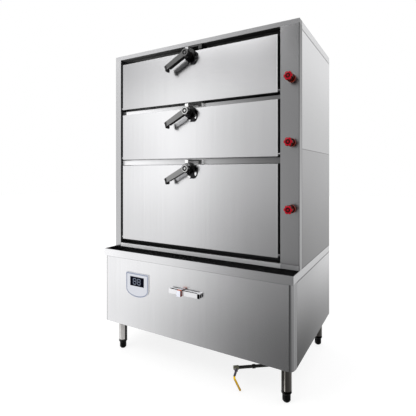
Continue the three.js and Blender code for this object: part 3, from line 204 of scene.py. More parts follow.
# surroundings: white to the eye, a soft box of light to the metal
# high and low hold tones round the room, by degrees from the front towards the right
surround = {
    "eye": 1.0,
    "matt": 0.95,
    "high": ((-180, 0.8), (-120, 0.8), (-80, 0.75), (-55, 0.7), (-46, 0.9), (-40, 1.6), (-35, 1.9),
             (-31, 1.15), (-26, 0.6), (-18, 0.5), (0, 0.5), (60, 0.6), (120, 0.8), (167, 1.0), (180, 0.9)),
    "low": ((-180, 0.5), (-120, 0.8), (-80, 0.9), (-55, 1.1), (-46, 1.8), (-40, 1.15), (-35, 0.88),
            (-31, 0.57), (-25, 0.23), (-18, 0.12), (0, 0.1), (60, 0.15), (120, 0.3), (160, 0.35),
            (170, 0.5), (180, 0.4)),
    "lowest": -0.46,
    "highest": 0.12,
    "rampPeak": 2.0,
}


def makeSurround():
    world = bpy.data.worlds.new("softStudio")
    world.use_nodes = True
    tree = world.node_tree
    tree.nodes.clear()
    way = separate(tree, put(tree, "ShaderNodeTexCoord").outputs["Generated"])
    turn = calc(tree, "ARCTAN2", way[0], calc(tree, "MULTIPLY", way[1], -1))
    place = calc(tree, "MULTIPLY_ADD", turn, 1 / math.tau, 0.5)
    peak = surround["rampPeak"]

    def roundRoom(band):
        return greyRamp(tree, place, [((angle + 180) / 360, tone / peak) for angle, tone in band])

    low, high = roundRoom(surround["low"]), roundRoom(surround["high"])
    rise = span(tree, way[2], surround["lowest"], surround["highest"])
    glossy = calc(tree, "MULTIPLY", mixValue(tree, rise, low, high), peak)
    path = put(tree, "ShaderNodeLightPath")
    seen = mixValue(tree, path.outputs["Is Glossy Ray"], surround["matt"], glossy)
    seen = mixValue(tree, path.outputs["Is Camera Ray"], seen, surround["eye"])
    light = put(tree, "ShaderNodeBackground")
    light.inputs["Color"].default_value = grey(1)
    feed(tree, light.inputs["Strength"], seen)
    tree.links.new(light.outputs[0], put(tree, "ShaderNodeOutputWorld").inputs[0])
    bpy.context.scene.world = world


makeSurround()

studio = {
    "floorTone": 0.25, "floorRough": 0.9, "floorReach": 30, "floorGlow": 0.8,
    "key": {"place": (-1.6, -3.2, 4.2), "aim": (0, 0, 0.9), "reach": 2.2, "power": 60},
}


def makeFloor():
    bpy.ops.mesh.primitive_plane_add(size=studio["floorReach"])
    ground = bpy.context.object
    ground.name = "studioFloor"
    paint, _, skin = newPaint("paleFloor")
    setSockets(skin, {"Base Color": grey(studio["floorTone"]), "Roughness": studio["floorRough"],
                      "Emission Color": grey(1), "Emission Strength": studio["floorGlow"]})
    ground.data.materials.append(paint)
    ground.visible_glossy = False


def makeKeyLamp():
    key = studio["key"]
    lamp = bpy.data.lights.new("keyBox", "AREA")
    lamp.size = key["reach"]
    lamp.energy = key["power"]
    box = bpy.data.objects.new("keyBox", lamp)
    box.location = key["place"]
    box.rotation_euler = (Vector(key["aim"]) - Vector(key["place"])).to_track_quat("-Z", "Y").to_euler()
    bpy.context.scene.collection.objects.link(box)


makeFloor()
makeKeyLamp()
print("camera and studio ready")

# shared effects
brushing = {
    "fine": 900, "long": 4,  # strokes per metre across and along
    "band": 0.08,  # pitch of the wide bands, as a share of the strokes'
    "cloud": 2.3,  # smudges per metre
    "fineDetail": 3, "bandDetail": 2, "cloudDetail": 4,
    "turned": 0.6,  # from here on a face counts as turned to an axis
    "smudgeShine": 2,  # a smudge changes the roughness this much more than the tone
    "relief": 0.03, "depth": 0.4 * mm,
}


def makeSheetGrainAndPaintedLight():
    tree, given, out = newGroup("sheetGrainAndPaintedLight", {
        "Tone": (*steel, 1), "Rough": 0.24,
        "Left": -0.6, "Right": 0.6, "Bottom": 0.0, "Top": 1.85,
        "Bottom left": 1.0, "Bottom right": 1.0, "Top left": 1.0, "Top right": 1.0,
        "Grain": 0.1, "Band": 0.02, "Upright": 0.0, "Smudge": 0.03,
    }, skinOutputs)
    place = put(tree, "ShaderNodeTexCoord").outputs["Object"]
    x, y, z = separate(tree, place)
    normal = separate(tree, put(tree, "ShaderNodeNewGeometry").outputs["Normal"])

    def turnedTo(reading):
        return calc(tree, "GREATER_THAN", calc(tree, "ABSOLUTE", reading), brushing["turned"])

    # brushing runs along the sheet or up it, so the noise is stretched hard across the strokes
    across = mixValue(tree, turnedTo(normal[2]), z, y)
    level = mixValue(tree, given["Upright"], brushing["long"], brushing["fine"])
    rising = mixValue(tree, given["Upright"], brushing["fine"], brushing["long"])
    strokes = put(tree, "ShaderNodeCombineXYZ")
    for socket, reading, pitch in zip(strokes.inputs, (x, y, across), (level, level, rising)):
        feed(tree, socket, calc(tree, "MULTIPLY", reading, pitch))
    grain = noise(tree, strokes.outputs[0], 1, brushing["fineDetail"])
    band = noise(tree, strokes.outputs[0], brushing["band"], brushing["bandDetail"])
    cloud = noise(tree, place, brushing["cloud"], brushing["cloudDetail"])
    # painted light: the tone drifts across the sheet, from front to back on a sheet that faces sideways
    along = mixValue(tree, turnedTo(normal[0]), x, y)
    u = span(tree, along, given["Left"], given["Right"])
    v = span(tree, z, given["Bottom"], given["Top"])
    low = mixValue(tree, u, given["Bottom left"], given["Bottom right"])
    high = mixValue(tree, u, given["Top left"], given["Top right"])
    drift = mixValue(tree, v, low, high)
    streak = vary(tree, grain, given["Grain"], vary(tree, band, given["Band"], 1))
    cloudy = vary(tree, cloud, given["Smudge"], 1)
    strength = calc(tree, "MULTIPLY", calc(tree, "MULTIPLY", drift, streak), cloudy)
    roughSmudge = calc(tree, "MULTIPLY", given["Smudge"], brushing["smudgeShine"])
    feed(tree, out["Colour"], scaleTone(tree, given["Tone"], strength))
    feed(tree, out["Roughness"], vary(tree, cloud, roughSmudge, given["Rough"]))
    feed(tree, out["Height"], grain)
    return tree


# a box in which the tone is multiplied, from its lower to its upper end; most boxes are painted shade and
# painted highlights
def makeTonePatch():
    tree, given, out = newGroup("tonePatch", {
        "Tone": grey(1), "Low corner": (0, 0, 0), "High corner": (1, 1, 1),
        "Lower share": 1.0, "Upper share": 1.0,
    }, skinOutputs[:1])
    place = separate(tree, put(tree, "ShaderNodeTexCoord").outputs["Object"])
    low = separate(tree, given["Low corner"])
    high = separate(tree, given["High corner"])
    inside = 1
    for here, least, most in zip(place, low, high):
        above = calc(tree, "GREATER_THAN", here, least)
        below = calc(tree, "LESS_THAN", here, most)
        inside = calc(tree, "MULTIPLY", calc(tree, "MULTIPLY", above, below), inside)
    rise = span(tree, place[2], low[2], high[2])
    share = mixValue(tree, inside, 1, mixValue(tree, rise, given["Lower share"], given["Upper share"]))
    feed(tree, out["Colour"], scaleTone(tree, given["Tone"], share))
    return tree


moulding = {"cloud": 35, "depth": 0.3 * mm}  # uneven spots per metre, depth of the grain


def makeMoulded():
    tree, given, out = newGroup("mouldedSkin", {
        "Tone": grey(0.1), "Rough": 0.4, "Speck": 900.0, "Unevenness": 0.1,
    }, skinOutputs)
    place = put(tree, "ShaderNodeTexCoord").outputs["Object"]
    cloud = noise(tree, place, moulding["cloud"])
    worn = vary(tree, cloud, given["Unevenness"], 1)
    feed(tree, out["Colour"], scaleTone(tree, given["Tone"], worn))
    feed(tree, out["Roughness"], vary(tree, cloud, given["Unevenness"], given["Rough"]))
    feed(tree, out["Height"], noise(tree, place, given["Speck"]))
    return tree


sheetGrainAndPaintedLight = makeSheetGrainAndPaintedLight()
tonePatch = makeTonePatch()
mouldedSkin = makeMoulded()


# what a look gives under a socket's name goes to that socket of the group
def placeGroup(tree, group, look):
    node = put(tree, "ShaderNodeGroup", node_tree=group)
    for key, value in look.items():
        socket = node.inputs.get(key.capitalize())
        if socket is not None:
            socket.default_value = (*value, 1) if key == "tone" else value
    return node


def connectSkin(tree, skin, colour, group, relief, depth):
    bump = put(tree, "ShaderNodeBump")
    setSockets(bump, {"Strength": relief, "Distance": depth})
    tree.links.new(colour, skin.inputs["Base Color"])
    tree.links.new(group.outputs["Roughness"], skin.inputs["Roughness"])
    tree.links.new(group.outputs["Height"], bump.inputs["Height"])
    tree.links.new(bump.outputs[0], skin.inputs["Normal"])


sheetSides = ("Left", "Right", "Bottom", "Top")
sheetCorners = ("Bottom left", "Bottom right", "Top left", "Top right")


def sheetMetal(name, look):
    paint, tree, skin = newPaint(name)
    skin.inputs["Metallic"].default_value = look.get("metal", 1.0)
    group = placeGroup(tree, sheetGrainAndPaintedLight, look)
    drift = look.get("drift", ())
    setSockets(group, dict(zip(sheetSides, look.get("reach", ()))))
    setSockets(group, dict(zip(sheetCorners, drift * 2 if len(drift) == 2 else drift)))
    colour = group.outputs["Colour"]
    for values in look.get("patches", ()):
        shade = put(tree, "ShaderNodeGroup", node_tree=tonePatch)
        setSockets(shade, values)
        tree.links.new(colour, shade.inputs["Tone"])
        colour = shade.outputs["Colour"]
    connectSkin(tree, skin, colour, group, brushing["relief"], brushing["depth"])
    return paint


def moulded(name, look):
    paint, tree, skin = newPaint(name)
    setSockets(skin, {"Metallic": look.get("metal", 0.0), "Specular IOR Level": look.get("shine", 0.5)})
    group = placeGroup(tree, mouldedSkin, look)
    connectSkin(tree, skin, group.outputs["Colour"], group, look.get("bump", 0.05), moulding["depth"])
    return paint


def patch(lower, upper=None, x=(-far, far), y=(-far, far), z=(0, far)):
    low, high = zip(x, y, z)
    return {"Low corner": low, "High corner": high, "Lower share": lower,
            "Upper share": lower if upper is None else upper}


# steel finishes: reach gives the left, right, bottom and top of the painted light, and drift its share
# of the tone at bottom left, bottom right, top left and top right, or only at the two ends of a strip; most
# patches add more painted shade and painted highlights, and seamShare marks dark seams
upright = {"tone": steel, "upright": 1.0, "band": 0.07}
sheetEdge = 1.5 * mm  # a sheet's outer edge that catches or loses the light
seamShare = 0.12


# painted highlight on the lit edge at a door's right, and painted shade on its side
def doorReturn(inset, width, lit):
    dark = doors["top"].right - inset
    return patch(lit, x=(dark - width, dark)), patch(0.2, x=(dark, far))


stile = (jambs[1], far)
underRoof = faceFrame.top - 24 * mm
# painted shade darkens the stile upwards over this stretch
upperStile = (1.6, underRoof)  # the stretch of the stile that darkens upwards
cabinetZ = (deck.top, faceFrame.top)
sideSeam = (1.2196, 1.2226)
cabinetSide = sides("cabinet_side_right")
basePanel = sides("base_front_panel")
baseCorner = sides("base_corner_right")
# painted shade under the base's rim
shadeUnderRim = patch(0.3, z=(sides("base_side_right").top - 4 * mm, far))
leftLeg, rightLeg = sides("leg_front_left"), sides("leg_front_right")
legFoot = leftLeg.bottom + 9.7 * mm  # where a leg's dark foot ends
legFront = (-far, rightLeg.back - 7 * mm)
# a painted highlight stripe runs down the right leg from here
stripeLeft = rightLeg.middleX - 3.5 * mm  # the light stripe down the right leg
sheets = {
    "doorTopSteel": {
        **upright, "reach": (-0.56, 0.51, 1.5, 1.79), "drift": (0.82, 1.12, 0.64, 0.54),
        "patches": (patch(0.06, z=(0, doors["top"].bottom + 3.5 * mm)),
                    *doorReturn(20.5 * mm, 7.5 * mm, 1.15)),
        "nodes": ("door_top",)},
    "doorMiddleSteel": {
        **upright, "reach": (-0.56, 0.51, 1.18, 1.47), "drift": (0.96, 1.2, 1.04, 1.14),
        "patches": (patch(0.75, z=(0, doors["middle"].bottom + 2.5 * mm)),
                    *doorReturn(17.5 * mm, 9.5 * mm, 1.1)),
        "nodes": ("door_middle",)},
    "doorBottomSteel": {
        **upright, "reach": (-0.56, 0.51, 0.68, 1.15), "drift": (0.9, 1.04, 1.08, 1.12),
        "patches": doorReturn(17.5 * mm, 9.5 * mm, 1.1),
        "nodes": ("door_bottom",)},
    "faceFrameSteel": {
        **upright, "reach": (-0.6, 0.6, 0.63, 1.85), "drift": (0.68, 0.77, 0.84, 0.78),
        "patches": (patch(1.32, 0.66, x=stile, z=(0, underRoof)),
                    patch(1.0, 0.62, x=stile, z=upperStile),
                    patch(0.75, 0.65, x=(faceFrame.right - 4.5 * mm, far)),
                    patch(1.45, 0.5, x=(faceFrame.right - sheetEdge, far),
                          z=(deck.top - 30 * mm, faceFrame.top))),
        "nodes": ("face_frame",)},
    "topRailSteel": {
        "tone": (0.46, 0.46, 0.47), "metal": 0.15, "rough": 0.35,
        "reach": (-0.6, 0.55), "drift": (1.0, 0.4)},
    "lintelShade": {
        "tone": (0.14, 0.14, 0.14), "metal": 0.0, "rough": 0.5,
        "reach": (-0.56, 0.3), "drift": (1.0, 0.1)},
    "bottomRailSteel": {
        "tone": (0.74, 0.74, 0.75), "metal": 0.4, "rough": 0.4,
        "reach": (-0.56, 0.51), "drift": (1.25, 0.7)},
    "stileFootSteel": {"tone": (0.25, 0.25, 0.255), "metal": 0.15, "rough": 0.4},
    "barStripSteel": {
        "tone": (0.86, 0.86, 0.87), "metal": 0.35, "rough": 0.3,
        "reach": (-0.6, 0.55), "drift": (1.12, 0.15),
        "patches": (patch(0.1, x=(-far, jambs[0] + 30 * mm), z=(doors["middle"].bottom, far)),)},
    "upperBarSteel": {
        "tone": steel, "reach": (-0.52, 0.47), "drift": (0.7, 0.15),
        "patches": (patch(0.02, z=(doors["top"].bottom - 2 * mm, far)),),
        "nodes": ("crossbar_upper",)},
    "lowerBarSteel": {
        "tone": steel, "reach": (-0.52, 0.47), "drift": (1.1, 0.38),
        "nodes": ("crossbar_lower",)},
    "deckSteel": {
        "tone": steel, "reach": (-0.6, -0.38), "drift": (1.22, 1.06),
        "patches": (patch(0.25, x=(-far, deck.right - sheetEdge),
                          y=(deck.front + sheetEdge, faceFrame.front + sheetEdge)),
                    patch(1.36, x=(deck.right - sheetEdge, far))),
        "nodes": ("base_deck",)},
    "basePanelSteel": {
        **upright, "reach": (-0.58, 0.58, 0.19, 0.6), "drift": (0.95, 0.8, 1.1, 1.2),
        "patches": (patch(0.55, z=(basePanel.top - 5.2 * mm, basePanel.top - 0.2 * mm)),
                    patch(seamShare, x=(basePanel.right - sheetEdge, far))),
        "nodes": ("base_front_panel",)},
    "baseCornerSteel": {
        **upright, "reach": (-0.6, 0.6, 0.19, 0.6), "drift": (1.0, 0.8, 1.15, 0.5),
        "patches": (patch(1.4, x=(baseCorner.right - 3.5 * mm, far),
                          y=(baseCorner.front + 8.2 * mm, baseCorner.front + 28.2 * mm)),),
        "nodes": ("base_corner_left", "base_corner_right")},
    "baseSideSteel": {
        **upright, "reach": (-0.34, 0.4, 0.19, 0.6), "drift": (0.1, 0.68, 1.15, 1.6),
        "patches": (shadeUnderRim,),
        "nodes": ("base_side_right",)},
    "baseLeftSteel": {
        **upright, "reach": (-0.34, 0.4, 0.19, 0.6), "drift": (0.6, 0.6, 0.8, 0.8),
        "patches": (shadeUnderRim,),
        "nodes": ("base_side_left",)},
    "cabinetSideSteel": {
        **upright, "reach": (-0.256, 0.4, 0.6, 1.9), "drift": (1.0, 0.96, 1.03, 1.03),
        "patches": (patch(0.2, z=(deck.top - 30 * mm, deck.top + 4.5 * mm)),
                    patch(seamShare, z=sideSeam),
                    patch(0.4, z=(cabinetSide.top - 4.5 * mm, far)),
                    patch(0.68, 1.05, x=(0, far), z=(sideSeam[1], cabinetZ[1])),
                    patch(0.44, 0.52, x=(0, far), z=(cabinetZ[0], sideSeam[0])),
                    patch(0.55, 0.75, x=(-far, 0), z=cabinetZ)),
        "nodes": ("cabinet_side_left", "cabinet_side_right")},
    "roofSteel": {"tone": steel, "nodes": ("roof_cover",)},
    "backSteel": {
        **upright, "tone": (0.5, 0.5, 0.51), "rough": 0.32,
        "nodes": ("cabinet_back", "base_back_panel")},
    "legSteel": {
        "tone": (0.6, 0.585, 0.57), "metal": 0.35, "rough": 0.3, "grain": 0.0,
        "patches": (patch(0.02, z=(0, legFoot)),
                    patch(0.02, x=(leftLeg.middleX + 10.5 * mm, far), y=(leftLeg.middleY - 8.5 * mm, 0),
                          z=(legFoot, far))),
        "nodes": ("leg_front_left", "leg_back_left")},
    # the right legs: a painted-shade copy of the left legs' steel, with a painted highlight stripe
    "legPaintedShadeSteel": {
        "tone": (0.25, 0.235, 0.22), "rough": 0.16, "grain": 0.0,
        "patches": (patch(0.04, z=(0, legFoot)),
                    patch(0.06, x=(stripeLeft - 23 * mm, stripeLeft), y=legFront, z=(legFoot, far)),
                    patch(3.1, x=(stripeLeft, stripeLeft + 7.5 * mm), y=legFront, z=(legFoot, far))),
        "nodes": ("leg_front_right", "leg_back_right")},
    "millSteel": {
        "tone": (0.42, 0.42, 0.43), "rough": 0.4, "smudge": 0.12,
        "nodes": ("base_floor", "water_tank", "steam_manifold", *tiered("chamber"))},
    "polishedSteel": {
        "tone": (0.8, 0.8, 0.82), "rough": 0.2, "metal": 0.5, "grain": 0.0, "nodes": ("switch_rail",)},
    "neckSteel": {"tone": (0.36, 0.33, 0.4), "rough": 0.2, "grain": 0.0, "nodes": ("drain_lever",)},
    # painted highlights, on lit edges and on the backs of the lever skirts
    "paintedHighlightEdge": {"tone": (0.75, 0.75, 0.76), "rough": 0.18, "grain": 0.0},
    "paintedHighlightSteel": {"tone": (0.85, 0.85, 0.85), "rough": 0.12, "grain": 0.0},
}

# a keeper's open mouth, front plate and lug, and the dark gap above the middle one; foot and dark are shares
# of painted shade, and the top keeper's tone is a painted-shade copy of the lower ones'
keeper = {"mouth": 22 * mm, "plate": 0.5 * mm, "lugFoot": 10 * mm, "gapFoot": 23.5 * mm,
          "foot": 0.1, "dark": 0.015, "topTone": (0.45, 0.45, 0.46), "lowerTone": (0.95, 0.95, 0.95)}


# painted shade: the lug's foot, the keeper past its mouth, and the gap above the middle one
def keeperLook(tier):
    stop, dark = sides(f"keeper_{tier}"), keeper["dark"]
    mouth, plate = stop.left + keeper["mouth"], (-far, stop.front + keeper["plate"])
    lug = patch(keeper["foot"], x=(-far, mouth), y=plate, z=(0, doors[tier].top + keeper["lugFoot"]))
    behind = patch(dark, x=(mouth, far))
    facePlate = patch(dark, x=(mouth, far), y=plate)
    gap = patch(dark, x=(mouth, far), z=(doors[tier].top + keeper["gapFoot"], far))
    return {"tone": keeper["topTone" if tier == "top" else "lowerTone"],
            "metal": 0.3, "rough": 0.3, "grain": 0.0, "nodes": (f"keeper_{tier}",),
            "patches": {"top": (lug, behind), "middle": (lug, facePlate, gap),
                        "bottom": (lug, facePlate)}[tier]}


sheets.update({f"keeperSteel_{tier}": keeperLook(tier) for tier in tiers})

# moulded, cast and painted finishes
mouldings = {
    "latchCasting": {"tone": (0.019, 0.019, 0.02), "rough": 0.16, "metal": 1.0, "speck": 400,
                     "nodes": tiered("latch_base")},
    "latchBlackAndPaintedShade": {"tone": (0.006, 0.006, 0.006), "rough": 0.25, "speck": 400, "shine": 0.3},
    "blackPlastic": {"tone": (0.002, 0.002, 0.0022), "rough": 0.45, "shine": 0.1,
                     "nodes": ("fan_rotor", "cable_gland", "foot_front_left", "foot_front_right",
                               "foot_back_left", "foot_back_right")},
    "sealRubberAndRecessShade": {"tone": (0.012, 0.012, 0.013), "rough": 0.75, "speck": 500, "bump": 0.12,
                   "nodes": tiered("gasket")},
    "redPlastic": {"tone": (0.33, 0.0, 0.01), "rough": 0.22, "unevenness": 0.05, "shine": 0.15,
                   "nodes": tiered("steam_knob")},
    "redPaintedShade": {"tone": (0.006, 0.0, 0.0), "rough": 0.3, "unevenness": 0.05, "shine": 0.12},
    "redPaintedRimGlint": {"tone": (0.22, 0.012, 0.002), "rough": 0.25, "unevenness": 0.05, "shine": 0.2},
    "bezelPlastic": {"tone": (0.6, 0.615, 0.665), "rough": 0.42, "speck": 1500, "unevenness": 0.03,
                     "nodes": ("control_bezel",)},
    "bezelLine": {"tone": (0.25, 0.28, 0.37), "rough": 0.4, "speck": 1500, "shine": 0.2},
    "bezelSidePaintedLight": {"tone": (0.98, 0.98, 1.0), "rough": 0.6, "shine": 0.1},
    "displayBlack": {"tone": (0.0015, 0.002, 0.006), "rough": 0.2, "unevenness": 0.0, "bump": 0.0,
                     "shine": 0.01, "nodes": ("display_window",)},
    "digitGlass": {"tone": (0.22, 0.25, 0.32), "rough": 0.3, "speck": 1500, "shine": 0.05},
    "copperSlider": {"tone": (0.6, 0.11, 0.015), "rough": 0.3, "shine": 0.1, "nodes": ("switch_slider",)},
    "copperShade": {"tone": (0.13, 0.009, 0.001), "rough": 0.35, "shine": 0.05},
    "sliderWhite": {"tone": (0.75, 0.77, 0.85), "rough": 0.3},
    "slotPaintedShade": {"tone": (0.002, 0.002, 0.002), "rough": 0.9, "shine": 0.0},
    "brass": {"tone": (0.55, 0.38, 0.14), "rough": 0.3, "metal": 1.0, "nodes": ("inlet_valve", "float_arm")},
    "darkPipe": {"tone": (0.008, 0.008, 0.006), "rough": 0.4, "speck": 300, "shine": 0.3,
                 "nodes": ("drain_pipe",)},
    "oliveValve": {"tone": (0.2, 0.2, 0.15), "rough": 0.35, "metal": 0.6, "nodes": ("drain_valve",)},
    "yellowGrip": {"tone": (0.85, 0.53, 0.0), "rough": 0.34, "speck": 700, "shine": 0.3,
                   "nodes": ("drain_grip",)},
    "gripPaintedShade": {"tone": (0.4, 0.22, 0.0), "rough": 0.34, "speck": 700, "shine": 0.3},
    "windings": {"tone": (0.25, 0.08, 0.03), "rough": 0.5, "metal": 0.4, "speck": 200, "bump": 0.4,
                 "nodes": ("induction_coil",)},
    "enamel": {"tone": (0.06, 0.065, 0.075), "rough": 0.5, "speck": 800, "bump": 0.2,
               "nodes": ("power_module",)},
}

# tones of the levers, and of the rings on their hubs, tier by tier: painted light, the top tier shaded
# darkest
leverSatin = {"rough": 0.34, "top": 0.085, "middle": 0.21, "bottom": 0.26}
hubPaintedLight = {"rough": 0.25, "top": 0.1, "middle": 0.55, "bottom": 0.48}


def leverLook(tones, tier, nodes=()):
    tone = tones[tier]
    return {"tone": (tone, tone, tone), "rough": tones["rough"], "metal": 1.0, "speck": 600, "nodes": nodes}


for tier in tiers:
    mouldings[f"leverSatin_{tier}"] = leverLook(leverSatin, tier, (f"latch_lever_{tier}",))
    mouldings[f"hubPaintedLight_{tier}"] = leverLook(hubPaintedLight, tier)

paints = {name: sheetMetal(name, look) for name, look in sheets.items()}
paints.update({name: moulded(name, look) for name, look in mouldings.items()})
nodePaint = {node: name for looks in (sheets, mouldings) for name, look in looks.items()
             for node in look.get("nodes", ())}
print("finishes mixed:", len(paints))

rounding = {"weld": 0.01 * mm, "segments": 2, "angle": 32}


def soften(piece, radius, edgePaint=-1):
    weld = piece.modifiers.new("weld", "WELD")
    weld.merge_threshold = rounding["weld"]
    rounded = piece.modifiers.new("roundedEdges", "BEVEL")
    rounded.width = radius
    rounded.segments = rounding["segments"]
    rounded.limit_method = "ANGLE"
    rounded.angle_limit = math.radians(rounding["angle"])
    rounded.material = edgePaint
    even = piece.modifiers.new("evenShading", "WEIGHTED_NORMAL")
    even.keep_sharp = False
    for face in piece.data.polygons:
        face.use_smooth = True


def addPaint(piece, paint):
    piece.data.materials.append(paints[paint])
    return len(piece.data.materials) - 1


def paintFaces(piece, paint, belongs):
    index = addPaint(piece, paint)
    for face in piece.data.polygons:
        if belongs(face.center, face.normal):
            face.material_index = index


# edge radii in millimetres, by node or by kind of node, and the paint of the edges that carry a painted
# highlight
edgeRadii = {"plain": 0.5, "face_frame": 0.7, "control_bezel": 1.5, "door": 1.3, "latch_lever": 1.6,
             "latch_base": 1.5, "steam_knob": 0.9}
edgePaints = {"latch_lever": "paintedHighlightEdge", "latch_base": "paintedHighlightEdge", "steam_knob": "redPaintedRimGlint"}


def dressNodes():
    for name, piece in cadNodes.items():
        kind = name.rsplit("_", 1)[0]
        radius = edgeRadii.get(name, edgeRadii.get(kind, edgeRadii["plain"]))
        edge = edgePaints.get(kind)
        piece.data.materials.clear()
        piece.data.materials.append(paints[nodePaint[name]])
        if "custom_normal" in piece.data.attributes:
            piece.data.attributes.remove(piece.data.attributes["custom_normal"])
        soften(piece, radius * mm, addPaint(piece, edge) if edge else -1)


dressNodes()
print("CAD nodes dressed")

# helpers for the small pieces that only the look needs


def finishPiece(name, build, paint, body, radius=0.3, place=(0, 0, 0)):
    bmesh.ops.recalc_face_normals(build, faces=build.faces)
    build.normal_update()
    mesh = bpy.data.meshes.new(name)
    build.to_mesh(mesh)
    build.free()
    piece = bpy.data.objects.new(name, mesh)
    piece.location = place
    bpy.context.scene.collection.objects.link(piece)
    mesh.materials.append(paints[paint])
    soften(piece, radius * mm)
    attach(piece, body)
    return piece


def neighbours(count):
    return [(i, (i + 1) % count) for i in range(count)]


def standing(x, z, depth):
    return x, depth, z


def lying(x, y, depth):
    return x, y, depth


def addPrism(build, outline, front, back, lay=standing):
    near = [build.verts.new(lay(a, b, front)) for a, b in outline]
    distant = [build.verts.new(lay(a, b, back)) for a, b in outline]
    build.faces.new(near)
    build.faces.new(distant[::-1])
    for i, j in neighbours(len(outline)):
        build.faces.new((near[j], near[i], distant[i], distant[j]))


def addSlab(build, x, y, z):
    addPrism(build, [(x[0], z[0]), (x[1], z[0]), (x[1], z[1]), (x[0], z[1])], *y)


def addRing(build, outer, inner, front, back):
    rows = [[build.verts.new((x, y, z)) for x, z in outline]
            for outline, y in ((outer, front), (inner, front), (inner, back), (outer, back))]
    for i, j in neighbours(len(outer)):
        for a, b in neighbours(len(rows)):
            build.faces.new((rows[a][i], rows[a][j], rows[b][j], rows[b][i]))


circleSteps = 40


def circle(radius):
    turns = [math.tau * i / circleSteps for i in range(circleSteps)]
    return [(radius * math.cos(turn), radius * math.sin(turn)) for turn in turns]


# how squarely a face has to look along an axis
facing = {"roughly": 0.5, "mostly": 0.7, "squarely": 0.8}

# the face frame's recess, from the doors' edges and the frame's own; its faces are painted as shade
recess = {"side": 2 * mm, "front": 2.5 * mm, "bottom": 28 * mm, "top": 22.5 * mm, "lintel": 6 * mm}


def dressRecess():
    left, right = doors["top"].left + recess["side"], doors["top"].right - recess["side"]
    bottom, top = doors["bottom"].bottom - recess["bottom"], faceFrame.top - recess["top"]
    front, lintel = faceFrame.front + recess["front"], doors["top"].top + recess["lintel"]

    def inRecess(centre, normal):
        return centre.y > front and left < centre.x < right and bottom < centre.z < top

    def inLintel(centre, normal):
        return inRecess(centre, normal) and centre.z > lintel

    # painted shade: the recess near black, its lintel a lighter shade fading to the right
    paintFaces(cadNodes["face_frame"], "sealRubberAndRecessShade", inRecess)
    paintFaces(cadNodes["face_frame"], "lintelShade", inLintel)


dressRecess()

# depths are from the knob's front face
knob = {"faceBack": 4.8 * mm, "headBack": 21.8 * mm, "flangeFront": 50.8 * mm,
        "ringOuter": 11.8 * mm, "ringInner": 5 * mm, "ringRise": 0.1 * mm}


def makeKnob(tier):
    grip = sides(f"steam_knob_{tier}")
    face, head, flange = (grip.front + knob[depth] for depth in ("faceBack", "headBack", "flangeFront"))

    def isShaded(centre, normal):
        shank = face < centre.y < flange and normal.y > -facing["roughly"]
        shoulder = centre.y > head and normal.y < -facing["roughly"]
        return shank or shoulder

    def isRim(centre, normal):
        return centre.y > flange and abs(normal.y) < facing["roughly"]

    # painted shade on the knob's shank and shoulder, a painted glint on its flange's rim, and a ring of
    # painted shade on its face
    paintFaces(cadNodes[f"steam_knob_{tier}"], "redPaintedShade", isShaded)
    paintFaces(cadNodes[f"steam_knob_{tier}"], "redPaintedRimGlint", isRim)
    build = bmesh.new()
    addRing(build, circle(knob["ringOuter"]), circle(knob["ringInner"]),
            grip.front - knob["ringRise"], grip.front + knob["ringRise"])
    finishPiece(f"knobShadeRing_{tier}", build, "redPaintedShade", f"knob_{tier}", 0.1,
                (grip.middleX, 0, grip.middleZ))


for tier in tiers:
    makeKnob(tier)

bezel = {"round": 45 * mm, "arcSteps": 20, "lineInset": 1.5 * mm, "lineWidth": 6 * mm, "lineRise": 0.3 * mm}
bezelBox = sides("control_bezel")


# the bezel's faces stay plain, and its side is painted light
def dressBezel():
    panel = cadNodes["control_bezel"]
    panel.modifiers.remove(panel.modifiers["evenShading"])
    for face in panel.data.polygons:
        face.use_smooth = False
    paintFaces(panel, "bezelSidePaintedLight",
               lambda centre, normal: normal.x > facing["roughly"] and centre.y < basePanel.front)


def bezelOutline(inset):
    half = bezelBox.right - bezelBox.middleX - inset
    shoulder = bezelBox.bottom + bezel["round"]
    top = bezelBox.top - inset
    points = [(bezelBox.middleX - half, top), (bezelBox.middleX + half, top)]
    for i in range(bezel["arcSteps"] + 1):
        turn = math.pi * i / bezel["arcSteps"]
        points.append((bezelBox.middleX + half * math.cos(turn),
                       shoulder - (bezel["round"] - inset) * math.sin(turn)))
    return points


def makeBezelLine():
    build = bmesh.new()
    outer = bezelOutline(bezel["lineInset"])
    inner = bezelOutline(bezel["lineInset"] + bezel["lineWidth"])
    addRing(build, outer, inner, bezelBox.front - bezel["lineRise"], bezelBox.front + bezel["lineRise"])
    finishPiece("bezelLine", build, "bezelLine", "cabinet", 0.1)


dressBezel()
makeBezelLine()

digits = {"height": 33 * mm, "width": 21 * mm, "stroke": 3.6 * mm, "gap": 1 * mm, "pitch": 32 * mm,
          "shift": -2 * mm, "rise": 0.2 * mm, "sink": 0.1 * mm}
display = sides("display_window")


def addSegment(build, start, end):
    run = (Vector(end) - Vector(start)).normalized()
    side = Vector((-run.y, run.x)) * digits["stroke"] / 2
    nib = run * digits["stroke"] / 2
    first = Vector(start) + run * digits["gap"]
    last = Vector(end) - run * digits["gap"]
    outline = [first, first + nib + side, last - nib + side, last, last - nib - side, first + nib - side]
    addPrism(build, [(p.x, p.y) for p in outline],
             display.front - digits["rise"], display.front + digits["sink"])


